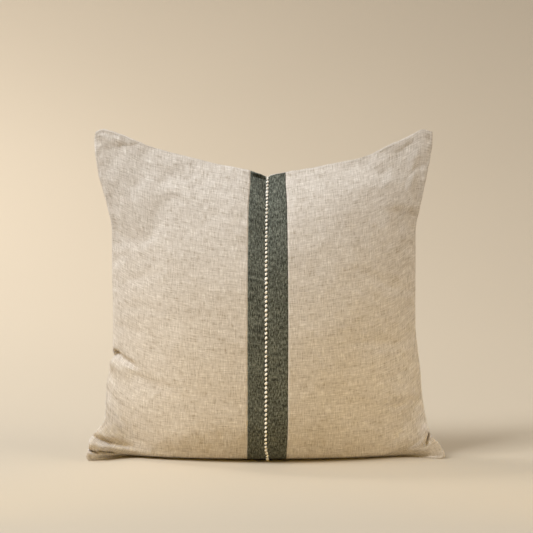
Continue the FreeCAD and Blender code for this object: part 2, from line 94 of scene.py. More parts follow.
def from_swatch(red: int, green: int, blue: int) -> Colour:
    """Turns a dye swatch into a linear colour.

    Args:
        red: Red of the swatch, 0 to 255.
        green: Green of the swatch.
        blue: Blue of the swatch.

    Returns:
        The linear colour.
    """
    def linear(level: int) -> float:
        """One channel, made linear."""
        share = level / 255.0
        return share / 12.92 if share <= 0.04045 else ((share + 0.055) / 1.055) ** 2.4
    return linear(red), linear(green), linear(blue)


class SmoothLine:
    """A smooth curve through a few chosen points that never overshoots between them."""

    def __init__(self, *points: tuple[float, float]) -> None:
        """Works out the slope at each point.

        Args:
            points: Pairs of place and value, with places rising.
        """
        self.points = points
        steps = [(b[1] - a[1]) / (b[0] - a[0]) for a, b in zip(points, points[1:])]
        self.slopes = [steps[0]]
        for before, after in zip(steps, steps[1:]):
            turns = before * after <= 0.0
            self.slopes.append(0.0 if turns else 2.0 * before * after / (before + after))
        self.slopes.append(steps[-1])

    def at(self, place: float) -> float:
        """Value of the curve.

        Args:
            place: Where to read it; places past the ends give the end values.

        Returns:
            The value there.
        """
        if place <= self.points[0][0]:
            return self.points[0][1]
        for index, (low, high) in enumerate(zip(self.points, self.points[1:])):
            if place <= high[0]:
                run = high[0] - low[0]
                share = (place - low[0]) / run
                back = 1.0 - share
                return (
                    low[1] * (1.0 + 2.0 * share) * back * back
                    + self.slopes[index] * run * share * back * back
                    + high[1] * share * share * (3.0 - 2.0 * share)
                    - self.slopes[index + 1] * run * share * share * back
                )
        return self.points[-1][1]


def new_piece(name: str, shape: bmesh.types.BMesh, smooth: bool = True) -> bpy.types.Object:
    """Makes a finished object of a bmesh and frees the bmesh.

    Args:
        name: Name of the piece.
        shape: The bmesh, in the frame's own place.
        smooth: Whether its faces are shaded smooth.

    Returns:
        The object, linked to the scene.
    """
    mesh = bpy.data.meshes.new(name)
    for face in shape.faces:
        face.smooth = smooth
    shape.to_mesh(mesh)
    shape.free()
    piece = bpy.data.objects.new(name, mesh)
    bpy.context.scene.collection.objects.link(piece)
    return piece


def dress(piece: bpy.types.Object, material: bpy.types.Material) -> None:
    """Puts one material on a piece, in place of any that it has.

    Args:
        piece: The object.
        material: The material.
    """
    if piece.data.materials:
        for index in range(len(piece.data.materials)):
            piece.data.materials[index] = material
    else:
        piece.data.materials.append(material)


def fit(
    piece: bpy.types.Object, material: bpy.types.Material, nodes: Sequence[str], slot: str
) -> bpy.types.Object:
    """Dresses a piece, has it ride on the cover and stand for its CAD nodes.

    Args:
        piece: The object.
        material: Its material.
        nodes: The CAD nodes that it stands for.
        slot: The material slot of those nodes; not used.

    Returns:
        The same object.
    """
    dress(piece, material)
    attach(piece, "cover")
    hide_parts(*nodes)
    return piece


def joined(parts: Sequence[bmesh.types.BMesh]) -> bmesh.types.BMesh:
    """Puts several shapes into one bmesh, in order, and frees them.

    Args:
        parts: The shapes.

    Returns:
        One bmesh with all of them, its vertices numbered.
    """
    whole = bmesh.new()
    for part in parts:
        scratch = bpy.data.meshes.new("part")
        part.to_mesh(scratch)
        part.free()
        whole.from_mesh(scratch)
        bpy.data.meshes.remove(scratch)
    whole.verts.index_update()
    whole.verts.ensure_lookup_table()
    return whole


def tube_along(
    name: str, path: Sequence[Vector], radius: float, closed: bool, sides: int = 1
) -> bpy.types.Object:
    """A round thread or wire along a path, as a mesh.

    Args:
        name: Name of the piece.
        path: Points that it passes through.
        radius: Radius of its section.
        closed: Whether the last point joins the first.
        sides: Roundness of the section, as a curve's bevel resolution.

    Returns:
        The mesh object.
    """
    curve = bpy.data.curves.new(f"{name}_path", "CURVE")
    curve.dimensions = "3D"
    curve.bevel_depth = radius
    curve.bevel_resolution = sides
    curve.use_fill_caps = not closed
    spline = curve.splines.new("POLY")
    spline.points.add(len(path) - 1)
    for point, place in zip(spline.points, path):
        point.co = (*place, 1.0)
    spline.use_cyclic_u = closed
    holder = bpy.data.objects.new(f"{name}_holder", curve)
    bpy.context.scene.collection.objects.link(holder)
    bpy.context.view_layer.update()
    mesh = bpy.data.meshes.new_from_object(holder.evaluated_get(
        bpy.context.evaluated_depsgraph_get()
    ))
    bpy.data.objects.remove(holder)
    bpy.data.curves.remove(curve)
    mesh.name = name
    for polygon in mesh.polygons:
        polygon.use_smooth = True
    piece = bpy.data.objects.new(name, mesh)
    bpy.context.scene.collection.objects.link(piece)
    return piece


# ------------------------------------------------------------------------------ shader helpers

class Value:
    """A number, vector or colour on its way through a material, with Python's own operators."""

    def __init__(self, bench: "ShaderBench", socket: bpy.types.NodeSocket) -> None:
        """Wraps one output socket."""
        self.bench = bench
        self.socket = socket

    def _math(self, operation: str, first: "Number", second: "Number") -> "Value":
        """Adds one Math node."""
        return self.bench.node("ShaderNodeMath", {"operation": operation}, {0: first, 1: second})

    def __add__(self, other: "Number") -> "Value":
        """Sum."""
        return self._math("ADD", self, other)

    def __radd__(self, other: "Number") -> "Value":
        """Sum, with the number first."""
        return self._math("ADD", other, self)

    def __sub__(self, other: "Number") -> "Value":
        """Difference."""
        return self._math("SUBTRACT", self, other)

    def __rsub__(self, other: "Number") -> "Value":
        """Difference, with the number first."""
        return self._math("SUBTRACT", other, self)

    def __mul__(self, other: "Number") -> "Value":
        """Product."""
        return self._math("MULTIPLY", self, other)

    def __rmul__(self, other: "Number") -> "Value":
        """Product, with the number first."""
        return self._math("MULTIPLY", other, self)

    def __abs__(self) -> "Value":
        """Size without its sign."""
        return self._math("ABSOLUTE", self, 0.0)

    def cosine(self) -> "Value":
        """Cosine."""
        return self._math("COSINE", self, 0.0)

    def larger(self, other: "Number") -> "Value":
        """The larger of two."""
        return self._math("MAXIMUM", self, other)


Number = Union[float, int, Value]


class ShaderBench:
    """Builds one material's nodes."""

    def __init__(self, name: str) -> None:
        """Starts a material with only its shader and output.

        Args:
            name: Name of the material.
        """
        self.material = bpy.data.materials.new(name)
        self.material.use_nodes = True
        self.tree = self.material.node_tree
        self.shader = self.tree.nodes["Principled BSDF"]

    def node(
        self, kind: str, settings: dict[str, object], sockets: dict[Union[int, str], object],
        output: Union[int, str] = 0,
    ) -> Value:
        """Adds a node.

        Args:
            kind: The node's type.
            settings: Properties set on the node before its sockets.
            sockets: Values or links of its inputs, by name or index.
            output: Which output to carry on with.

        Returns:
            That output.
        """
        made = self.tree.nodes.new(kind)
        for key, value in settings.items():
            setattr(made, key, value)
        for key, value in sockets.items():
            if isinstance(value, Value):
                self.tree.links.new(value.socket, made.inputs[key])
            else:
                made.inputs[key].default_value = value
        return Value(self, made.outputs[output])

    def set(self, **constants: object) -> None:
        """Sets constant values on the shader, with spaces in names written as underscores."""
        for key, value in constants.items():
            self.shader.inputs[key.replace("_", " ")].default_value = value

    def feed(self, socket: str, value: Value) -> None:
        """Links a value to the shader."""
        self.tree.links.new(value.socket, self.shader.inputs[socket])

    def cloth_place(self) -> Value:
        """Place on the flat cloth, in metres across and along the warp."""
        return self.node("ShaderNodeUVMap", {"uv_map": CLOTH_UV}, {})

    def object_place(self) -> Value:
        """Place on the object, in metres."""
        return self.node("ShaderNodeTexCoord", {}, {}, "Object")

    def across(self, vector: Value) -> Value:
        """First part of a vector."""
        return self.node("ShaderNodeSeparateXYZ", {}, {0: vector}, 0)

    def along(self, vector: Value) -> Value:
        """Second part of a vector."""
        return self.node("ShaderNodeSeparateXYZ", {}, {0: vector}, 1)

    def stretched(self, vector: Value, factors: Colour, shift: Colour = (0.0, 0.0, 0.0)) -> Value:
        """Scales a vector's parts and then shifts them.

        Args:
            vector: The vector.
            factors: What each part is multiplied by.
            shift: What is then added to each part.

        Returns:
            The new vector.
        """
        return self.node(
            "ShaderNodeVectorMath", {"operation": "MULTIPLY_ADD"},
            {0: vector, 1: factors, 2: shift},
        )

    def cloud(self, vector: Value, detail: float = 2.0, roughness: float = 0.5) -> Value:
        """Noise that is about 0.5 on average.

        Args:
            vector: Where to read it, already scaled.
            detail: How many finer layers are added.
            roughness: How strong the finer layers are.

        Returns:
            The noise, from 0 to 1.
        """
        return self.node(
            "ShaderNodeTexNoise", {"noise_dimensions": "3D"},
            {"Vector": vector, "Scale": 1.0, "Detail": detail, "Roughness": roughness},
        )

    def step(self, value: Value, low: float, high: float, start: float = 0.0,
             end: float = 1.0) -> Value:
        """Smooth step.

        Args:
            value: The value to map.
            low: Value where the result is start.
            high: Value where the result is end.
            start: First result.
            end: Last result.

        Returns:
            A number between start and end.
        """
        return self.node(
            "ShaderNodeMapRange", {"interpolation_type": "SMOOTHSTEP"},
            {"Value": value, "From Min": low, "From Max": high, "To Min": start, "To Max": end},
        )

    def blend(self, first: Union[Value, Colour], second: Union[Value, Colour],
              factor: Number, mode: str = "MIX") -> Value:
        """Mixes two colours.

        Args:
            first: Colour where the factor is 0.
            second: Colour where the factor is 1.
            factor: Share of the second colour.
            mode: How they are mixed.

        Returns:
            The mixed colour.
        """
        settings = {"data_type": "RGBA", "blend_type": mode, "clamp_factor": True}
        colours = [
            item if isinstance(item, Value) else (*item, 1.0) for item in (first, second)
        ]
        return self.node("ShaderNodeMix", settings, {0: factor, 6: colours[0], 7: colours[1]}, 2)

    def shaded(self, colour: Union[Value, Colour], factor: Value) -> Value:
        """A colour made lighter or darker by a number."""
        grey = self.node("ShaderNodeCombineColor", {}, {0: factor, 1: factor, 2: factor})
        return self.blend(colour, grey, 1.0, "MULTIPLY")

    def bump(self, height: Value, distance: float) -> None:
        """Feeds a height to the shader's normal.

        Args:
            height: The height, in units of distance.
            distance: Height in metres that 1 stands for.
        """
        normal = self.node(
            "ShaderNodeBump", {}, {"Strength": 1.0, "Distance": distance, "Height": height}
        )
        self.feed("Normal", normal)

    def finished(
        self, colour: Value, roughness: Value, height: Value, relief: float, **constants: object
    ) -> bpy.types.Material:
        """Feeds the shader and hands over the material.

        Args:
            colour: The colour of the surface.
            roughness: Its roughness.
            height: Its height, in units of the relief.
            relief: Height in metres that 1 stands for.
            **constants: Constant values for other sockets of the shader.

        Returns:
            The material.
        """
        self.feed("Base Color", colour)
        self.feed("Roughness", roughness)
        self.bump(height, relief)
        self.set(**constants)
        return self.material


# ------------------------------------------------------------------------------ finishes

@dataclass(frozen=True)
class WovenFinish:
    """A plain-woven cloth of uneven handspun yarn.

    The two cloths of the cover share this weave and differ in their yarns and colours.
    """

    name: str
    ground: Colour
    pale_yarn: Colour
    deep_yarn: Colour
    fleck: Colour = (0.0, 0.0, 0.0)
    fleck_share: float = 0.0
    threads_per_metre: float = 820.0
    yarn_contrast: float = 1.0
    weft_share: float = 1.0
    streaks_per_metre: float = 62.0
    relief: float = 0.0003
    roughness: float = 0.9
    roughness_range: float = 0.06
    wander: float = 1.6
    wander_scale: tuple[float, float] = (260.0, 28.0)
    yarn_scale: tuple[float, float] = (600.0, 640.0)
    band_scale: Colour = (11.0, 170.0, 1.0)
    warp_slub_scale: Colour = (430.0, 30.0, 1.0)
    weft_slub_scale: Colour = (26.0, 520.0, 1.0)
    fleck_scale: Colour = (640.0, 170.0, 1.0)
    speckle_scale: Colour = (900.0, 900.0, 1.0)
    mottle_scale: Colour = (34.0, 34.0, 1.0)
    tone_step: float = 0.34
    warp_weight: float = 1.25
    weft_weight: float = 1.15
    band_weight: float = 0.45
    speckle_weight: float = 0.4
    mottle_weight: float = 0.35
    slub_range: tuple[float, float] = (0.66, 0.78)
    slub_paleness: float = 0.5
    slub_height: float = 0.7
    speckle_height: float = 0.5
    fleck_range: tuple[float, float] = (0.60, 0.74)
    # painted shade of the weave: heights of the hollows and raised yarns, and the colour factors
    # there
    hollow_depth: tuple[float, float] = (0.05, 0.65)
    hollow_shade: tuple[float, float] = (0.72, 1.05)

    def weave(self, bench: ShaderBench, place: Value) -> tuple[Value, Value]:
        """The relief of warp over weft, each yarn wandering a little from its straight line.

        Args:
            bench: The material's bench.
            place: Place on the flat cloth.

        Returns:
            The height from 0 to 1, and a number that is 1 where the warp lies on top.
        """
        fast, slow = self.wander_scale
        warp_drift = bench.cloud(bench.stretched(place, (fast, slow, 1.0)))
        weft_drift = bench.cloud(bench.stretched(place, (slow, fast, 1.0), (7.0, 3.0, 0.0)))
        pitch = self.threads_per_metre
        warp = (bench.across(place) * pitch + warp_drift * self.wander) * math.pi
        weft = (bench.along(place) * pitch + weft_drift * self.wander) * math.pi
        warp_wave = warp.cosine()
        weft_wave = weft.cosine()
        over = warp_wave * weft_wave * 0.5 + 0.5
        warp_height = abs(warp_wave) * over
        weft_height = abs(weft_wave) * (1.0 - over)
        warp_on_top = bench.step(warp_height - weft_height, -0.15, 0.15)
        return warp_height.larger(weft_height), warp_on_top

    def tone(self, bench: ShaderBench, place: Value, speckle: Value, mottle: Value) -> Value:
        """How pale or deep the yarns are, each along its own length.

        Args:
            bench: The material's bench.
            place: Place on the flat cloth.
            speckle: Fine noise.
            mottle: Coarse noise.

        Returns:
            A number about 0, more where the yarn is pale.
        """
        streak = self.streaks_per_metre
        warp_scale, weft_scale = self.yarn_scale
        layers = (
            ((warp_scale, streak, 1.0), (0.0, 0.0, 0.0), self.warp_weight),
            ((streak, weft_scale, 1.0), (3.0, 9.0, 0.0), self.weft_weight * self.weft_share),
            (self.band_scale, (2.0, 5.0, 0.0), self.band_weight * self.weft_share),
        )
        tone = (speckle - 0.5) * self.speckle_weight + (mottle - 0.5) * self.mottle_weight
        for scale, shift, weight in layers:
            yarns = bench.cloud(bench.stretched(place, scale, shift), 2.0, 0.6)
            tone = tone + (yarns - 0.5) * weight
        return tone * self.yarn_contrast

    def slub(self, bench: ShaderBench, place: Value, scale: Colour, shift: Colour) -> Value:
        """Thick places in one direction of yarns.

        Args:
            bench: The material's bench.
            place: Place on the flat cloth.
            scale: How the noise is stretched along the yarns.
            shift: Where the noise starts.

        Returns:
            A number from 0 to 1, which is 1 in the middle of a thick place.
        """
        thickness = bench.cloud(bench.stretched(place, scale, shift), 1.0)
        return bench.step(thickness, *self.slub_range)

    def material(self) -> bpy.types.Material:
        """Weaves the cloth in the place on the flat cloth.

        Returns:
            The material.
        """
        bench = ShaderBench(self.name)
        place = bench.cloth_place()
        height, warp_on_top = self.weave(bench, place)
        speckle = bench.cloud(bench.stretched(place, self.speckle_scale), 2.0, 0.7)
        mottle = bench.cloud(bench.stretched(place, self.mottle_scale), 4.0, 0.62)
        tone = self.tone(bench, place, speckle, mottle)
        slub = self.slub(bench, place, self.warp_slub_scale, (5.0, 1.0, 0.0)).larger(
            self.slub(bench, place, self.weft_slub_scale, (1.0, 8.0, 0.0))
        )
        pale = bench.step(tone, 0.0, self.tone_step)
        deep = bench.step(tone * -1.0, 0.0, self.tone_step)
        colour = bench.blend(self.ground, self.pale_yarn, pale)
        colour = bench.blend(colour, self.deep_yarn, deep)
        colour = bench.blend(colour, self.pale_yarn, slub * self.slub_paleness)
        if self.fleck_share > 0.0:
            grain = bench.cloud(bench.stretched(place, self.fleck_scale, (2.0, 4.0, 0.0)), 2.0, 0.6)
            flecks = bench.step(grain + warp_on_top * -0.05, *self.fleck_range) * self.fleck_share
            colour = bench.blend(colour, self.fleck, flecks)
        # painted shade: the colour is darkened where the weave lies low, in the hollows between the
        # yarns, and a little lightened on the raised yarns
        painted_hollow_shade = bench.step(height, *self.hollow_depth, *self.hollow_shade)
        least = self.roughness - self.roughness_range
        most = self.roughness + self.roughness_range
        return bench.finished(
            bench.shaded(colour, painted_hollow_shade), bench.step(mottle, 0.2, 0.8, least, most),
            height + slub * self.slub_height + speckle * self.speckle_height, self.relief,
            Specular_IOR_Level=0.25, Sheen_Weight=0.06, Sheen_Roughness=0.5,
        )


@dataclass(frozen=True)
class YarnFinish:
    """Loose or twisted thread, with its plies drawn as fine slanting lines."""

    name: str
    light: Colour
    shade: Colour
    grain: float = 900.0
    relief: float = 0.0002
    patch_scale: float = 70.0
    patch_share: float = 0.3

    def material(self) -> bpy.types.Material:
        """Makes the thread's material, on the object's own place.

        Returns:
            The material.
        """
        bench = ShaderBench(self.name)
        place = bench.object_place()
        plies = (self.grain * 1.6, self.grain, self.grain * 0.35)
        fibres = bench.cloud(bench.stretched(place, plies), 3.0, 0.65)
        patches = bench.cloud(bench.stretched(place, (self.patch_scale,) * 3))
        lightness = bench.step(fibres + patches * self.patch_share, 0.42, 0.8)
        return bench.finished(
            bench.blend(self.shade, self.light, lightness),
            bench.step(fibres, 0.2, 0.8, 0.95, 0.8), fibres, self.relief,
            Specular_IOR_Level=0.3, Sheen_Weight=0.2,
        )


@dataclass(frozen=True)
class MetalFinish:
    """Small cast zip hardware with a worn, brushed face."""

    name: str
    bright: Colour
    dull: Colour
    roughness: float = 0.36
    dull_roughness: float = 0.50
    wear_scale: float = 420.0
    brush_scale: Colour = (300.0, 300.0, 5200.0)
    relief: float = 0.00003

    def material(self) -> bpy.types.Material:
        """Makes the metal's material, worn in patches.

        Returns:
            The material.
        """
        bench = ShaderBench(self.name)
        place = bench.object_place()
        wear = bench.cloud(bench.stretched(place, (self.wear_scale,) * 3), 4.0, 0.6)
        brushed = bench.cloud(bench.stretched(place, self.brush_scale))
        return bench.finished(
            bench.blend(self.dull, self.bright, bench.step(wear, 0.35, 0.65)),
            bench.step(wear, 0.3, 0.7, self.dull_roughness, self.roughness),
            brushed, self.relief, Metallic=1.0,
        )


@dataclass(frozen=True)
class PlainFinish:
    """A matt or satin finish with a faint tooth, in drifts of one colour and a deeper one."""

    name: str
    colour: Colour
    deeper: float
    tooth_scale: float
    tooth_detail: float
    roughness: tuple[float, float]
    relief: float
    specular: float = 0.5
    drift_scale: float = 0.0
    drift_detail: float = 1.0

    def material(self) -> bpy.types.Material:
        """Makes the material, whose drifts follow its tooth where they have no scale.

        Returns:
            The material.
        """
        bench = ShaderBench(self.name)
        place = bench.object_place()
        tooth = bench.cloud(bench.stretched(place, (self.tooth_scale,) * 3), self.tooth_detail)
        drift = tooth
        if self.drift_scale:
            drift = bench.cloud(bench.stretched(place, (self.drift_scale,) * 3), self.drift_detail)
        shade = tuple(channel * self.deeper for channel in self.colour)
        return bench.finished(
            bench.blend(shade, self.colour, drift), bench.step(tooth, 0.3, 0.7, *self.roughness),
            tooth, self.relief, Specular_IOR_Level=self.specular,
        )


class Cloths:
    """The finishes of the pillow and of the sweep behind it, each made once."""

    def __init__(self) -> None:
        """Makes the materials."""
        self.linen = WovenFinish(
            "natural_linen",
            ground=from_swatch(205, 195, 183), pale_yarn=from_swatch(229, 221, 211),
            deep_yarn=from_swatch(172, 159, 143),
            yarn_contrast=0.85, streaks_per_metre=75.0,
        ).material()
        self.stripe = WovenFinish(
            "charcoal_stripe",
            ground=from_swatch(82, 84, 74), pale_yarn=from_swatch(122, 125, 113),
            deep_yarn=from_swatch(42, 43, 35), fleck=from_swatch(160, 154, 136),
            fleck_share=0.6, yarn_contrast=1.6, weft_share=0.35,
            streaks_per_metre=170.0,
        ).material()
        self.cream = YarnFinish(
            "cream_yarn", light=from_swatch(255, 252, 244), shade=from_swatch(228, 216, 196)
        ).material()
        self.thread = YarnFinish(
            "linen_thread", light=from_swatch(214, 200, 176), shade=from_swatch(172, 156, 130),
            grain=2200.0, relief=0.00006,
        ).material()
        self.tape = WovenFinish(
            "zip_tape_weave",
            ground=from_swatch(190, 175, 150), pale_yarn=from_swatch(204, 190, 166),
            deep_yarn=from_swatch(166, 150, 124),
            threads_per_metre=1900.0, yarn_contrast=0.5, relief=0.0001,
        ).material()
        self.coil = PlainFinish(
            "zip_nylon", from_swatch(188, 172, 146), deeper=0.8, tooth_scale=600.0,
            tooth_detail=2.0, roughness=(0.42, 0.55), relief=0.00002,
        ).material()
        self.metal = MetalFinish(
            "antique_brass", bright=from_swatch(178, 150, 104), dull=from_swatch(112, 92, 62)
        ).material()
        self.paper = PlainFinish(
            "warm_paper", from_swatch(198, 185, 165), deeper=0.96, tooth_scale=240.0,
            tooth_detail=3.0, roughness=(0.86, 0.94), relief=0.00006, specular=0.2,
            drift_scale=1.1,
        ).material()
        self.cotton = WovenFinish(
            "pad_cotton",
            ground=from_swatch(236, 233, 224), pale_yarn=from_swatch(245, 243, 236),
            deep_yarn=from_swatch(220, 215, 204),
            threads_per_metre=1600.0, yarn_contrast=0.4, relief=0.0001,
        ).material()
        self.fibre = YarnFinish(
            "fibre_fill", light=from_swatch(248, 247, 243), shade=from_swatch(228, 225, 217),
            grain=500.0, relief=0.0006,
        ).material()


# ------------------------------------------------------------------------------ pillow's form

class Side(Enum):
    """The two faces of the pillow, with the direction that each faces along Y."""

    FRONT = -1
    BACK = 1


@dataclass(frozen=True)
class Crease:
    """A fold in the front, as a line across and up in metres.

    The cloth sinks along the line and stands out beside it, below a line that runs to the
    right where the offset is positive. A fold that goes through moves both layers together.
    """

    start: tuple[float, float]
    end: tuple[float, float]
    depth: float
    width: float
    swell: float = 0.0
    swell_offset: float = 0.012
    through: bool = False
    fade_in: tuple[float, float] = (-0.25, 0.15)
    fade_out: tuple[float, float] = (0.55, 1.15)
    reach: float = 5.0

    def push(self, x: float, z: float) -> float:
        """How far the cloth moves outwards at one place.

        Args:
            x: Place across.
            z: Height.

        Returns:
            Distance outwards, in metres; less than 0 where the cloth sinks.
        """
        run = (self.end[0] - self.start[0], self.end[1] - self.start[1])
        length = math.hypot(*run)
        ahead = ((x - self.start[0]) * run[0] + (z - self.start[1]) * run[1]) / length
        aside = ((x - self.start[0]) * run[1] - (z - self.start[1]) * run[0]) / length
        share = ahead / length
        beside = abs(aside) > self.reach * max(self.width, self.swell_offset)
        if beside or not self.fade_in[0] < share < self.fade_out[1]:
            return 0.0
        fade = ease(*self.fade_in, share) * (1.0 - ease(*self.fade_out, share))
        sink = -self.depth * math.exp(-((aside / self.width) ** 2))
        lift = 0.0
        if self.swell:
            past = (aside - self.swell_offset) / self.swell_offset
            lift = self.swell * math.exp(-past * past)
        return fade * (sink + lift)


@dataclass(frozen=True)
class SeamRipple:
    """An unevenness that the sewing leaves, strongest at the seam."""

    height: float
    per_metre: float
    reach: float

    def at(self, place: tuple[float, float, float], to_seam: float) -> float:
        """Its height at one place of the noise and distance from the seam."""
        return self.height * noise.noise(Vector(place)) * math.exp(-to_seam / self.reach)


@dataclass
class PillowForm:
    """The filled pillow's skin: where each place of the flat cloth lies.

    A share runs across the cloth from -1 to 1, and a level up it from 0 to 1. The tuples of two
    numbers are where an effect starts and where it is full, or has died away.
    """

    half_cloth: float
    centre_height: float
    half_depth: float
    fullest: float
    stripe_half: float
    join_half: float
    zip_height: float
    zip_axis_y: float
    zip_radius: float
    base_half_depth: float = 0.044
    base_share: float = 0.090
    base_lift: float = 0.0045
    front_fullest: float = 0.42
    lower_round: float = 2.4
    lower_swell: float = 0.6
    upper_round: float = 2.3
    flat_edge: int = 7
    notch_reach: float = 0.16
    notch_blend: float = 0.22
    notch_level: float = 0.90
    zip_hold_up: tuple[float, float] = (0.019, 0.050)
    zip_hold_across: tuple[float, float] = (0.178, 0.208)
    ear_across: tuple[float, float] = (0.76, 1.0)
    ear_up: tuple[float, float] = (0.05, 0.22)
    left_ear_reach: float = 0.036
    right_ear_reach: float = 0.020
    settled_share: float = 0.45
    pad_share: float = 0.92
    pad_rounding: float = 0.14
    pad_corner: float = 0.4
    pad_rim: int = 8
    broad_wave: float = 0.0030
    small_wave: float = 0.0011
    wave_scale: tuple[float, float, float] = (8.0, 4.2, 3.7)
    small_wave_ratio: float = 3.1
    flat_at_seam: float = 0.010
    fold_end: float = 0.0025
    calm_floor: float = 0.02
    firm_floor: float = 0.004
    crumpled_across: tuple[float, float] = (0.55, 0.9)
    crumpled_up: tuple[float, float] = (0.6, 0.95)
    drift_end: float = 0.15
    join_roll: float = 0.0024
    join_sink: float = 0.0014
    seam_pucker: SeamRipple = SeamRipple(0.0012, 62.0, 0.016)
    seam_wave: SeamRipple = SeamRipple(0.0011, 85.0, 0.009)
    seam_lift: SeamRipple = SeamRipple(0.0008, 95.0, 0.006)
    floor_band: float = 0.0050
    left_edge: SmoothLine = field(default_factory=lambda: SmoothLine(
        (0.0, 0.2450), (0.006, 0.2482), (0.015, 0.2458), (0.021, 0.2442), (0.028, 0.2438),
        (0.038, 0.2370), (0.057, 0.2245), (0.080, 0.2250), (0.100, 0.2245), (0.122, 0.2195),
        (0.141, 0.2135), (0.150, 0.2155), (0.190, 0.2150), (0.278, 0.2160), (0.315, 0.2160),
        (0.355, 0.2235), (0.400, 0.2355), (0.440, 0.2400), (0.451, 0.2392), (0.460, 0.2340),
    ))
    right_edge: SmoothLine = field(default_factory=lambda: SmoothLine(
        (0.0, 0.2440), (0.005, 0.2482), (0.011, 0.2460), (0.023, 0.2385), (0.0285, 0.2320),
        (0.036, 0.2270), (0.042, 0.2245), (0.052, 0.2228), (0.093, 0.2175), (0.124, 0.2155),
        (0.142, 0.2130), (0.190, 0.2085), (0.278, 0.2085), (0.315, 0.2085), (0.355, 0.2160),
        (0.400, 0.2250), (0.440, 0.2315), (0.460, 0.2318),
    ))
    top_edge: SmoothLine = field(default_factory=lambda: SmoothLine(
        (-1.0, 0.4550), (-0.965, 0.4580), (-0.89, 0.4550), (-0.84, 0.4515), (-0.77, 0.4450),
        (-0.68, 0.4365), (-0.59, 0.4295), (-0.44, 0.4200), (-0.29, 0.4102), (-0.15, 0.4035),
        (-0.085, 0.3990), (-0.041, 0.3960), (-0.012, 0.3926), (0.004, 0.3915),
        (0.018, 0.3935), (0.047, 0.3958), (0.105, 0.3984), (0.19, 0.4018), (0.32, 0.4080),
        (0.55, 0.4200), (0.72, 0.4378), (0.82, 0.4468), (0.93, 0.4575), (1.0, 0.4545),
    ))
    join_drift: SmoothLine = field(default_factory=lambda: SmoothLine(
        (0.0, 0.0014), (0.010, 0.0010), (0.022, -0.0011), (0.10, -0.0008), (0.30, -0.0004),
        (0.39, 0.0014),
    ))
    left_drift: SmoothLine = field(default_factory=lambda: SmoothLine(
        (0.0, -0.0001), (0.05, 0.0012), (0.20, 0.0015), (0.34, 0.0018), (0.385, 0.0041),
    ))
    right_drift: SmoothLine = field(default_factory=lambda: SmoothLine(
        (0.0, 0.0005), (0.05, 0.0020), (0.20, 0.0023), (0.34, 0.0020), (0.385, 0.0002),
    ))
    creases: tuple[Crease, ...] = (
        Crease((-0.226, 0.1475), (-0.203, 0.1455), 0.0060, 0.0040, 0.0035, 0.011),
        Crease((-0.214, 0.1460), (-0.177, 0.1270), 0.0078, 0.0042, 0.0050, 0.012),
        Crease((0.206, 0.341), (0.160, 0.344), 0.0015, 0.006, 0.001),
        Crease((0.208, 0.080), (0.165, 0.075), 0.0022, 0.006, 0.0015),
        Crease((-0.242, 0.0345), (-0.213, 0.0225), 0.0075, 0.0034, 0.0070, 0.0085, True),
        Crease((-0.222, 0.0255), (-0.182, 0.0150), 0.0050, 0.0034, 0.0065, 0.0085, True),
        Crease((-0.247, 0.0165), (-0.229, 0.0085), 0.0100, 0.0015, 0.0040, 0.0040, True),
        Crease((-0.231, 0.0135), (-0.209, 0.0080), 0.0100, 0.0015, 0.0040, 0.0038, True),
        Crease((0.2275, 0.0430), (0.2215, 0.0170), 0.0085, 0.0020, 0.0045, 0.0045, True),
        Crease((-0.232, 0.4545), (-0.214, 0.4480), 0.0012, 0.0022, 0.0006, 0.005, True),
        Crease((-0.212, 0.4500), (-0.192, 0.4420), 0.0012, 0.0022, 0.0006, 0.005, True),
        Crease((-0.0215, 0.3938), (0.001, 0.3882), 0.0065, 0.0021, 0.0065, -0.0050),
    )
    settled: dict[Side, list[list[Vector]]] = field(default_factory=dict)

    def depth_at(self, side: Side, rise: float) -> float:
        """Half the depth in the middle of the pillow.

        Args:
            side: Front, which is fullest halfway up, or back, which is fullest at the zip.
            rise: Share of the height in the middle.

        Returns:
            Half the depth, in metres.
        """
        fullest = self.front_fullest if side is Side.FRONT else self.fullest
        if rise < fullest:
            missing = 1.0 - rise / fullest
            swell = (1.0 - missing ** self.lower_round) ** self.lower_swell
            return self.base_half_depth + (self.half_depth - self.base_half_depth) * swell
        over = (rise - fullest) / (1.0 - fullest)
        return self.half_depth * (1.0 - over ** self.upper_round)

    def top_at(self, side: Side, share: float, level: float) -> float:
        """Height of the top edge over one place of the cloth.

        Only the front's join pulls its cloth down all the way; the back's notch is in its edge.

        Args:
            side: Front or back.
            share: Place across, from -1 to 1.
            level: Place up, from 0 to 1.

        Returns:
            The height, in metres.
        """
        edge = self.top_edge.at(share)
        if side is Side.FRONT:
            return edge
        aside = math.hypot(share, self.notch_reach)
        right = ease(-self.notch_blend, self.notch_blend, share)
        eased = self.top_edge.at(-aside) * (1.0 - right) + self.top_edge.at(aside) * right
        return eased + (edge - eased) * ease(self.notch_level, 1.0, level)

    def by_zip(self, x: float, z: float) -> float:
        """How firmly the zip holds the back at one place, from 0 to 1."""
        near = 1.0 - ease(*self.zip_hold_up, abs(z - self.zip_height))
        return near * (1.0 - ease(*self.zip_hold_across, abs(x)))

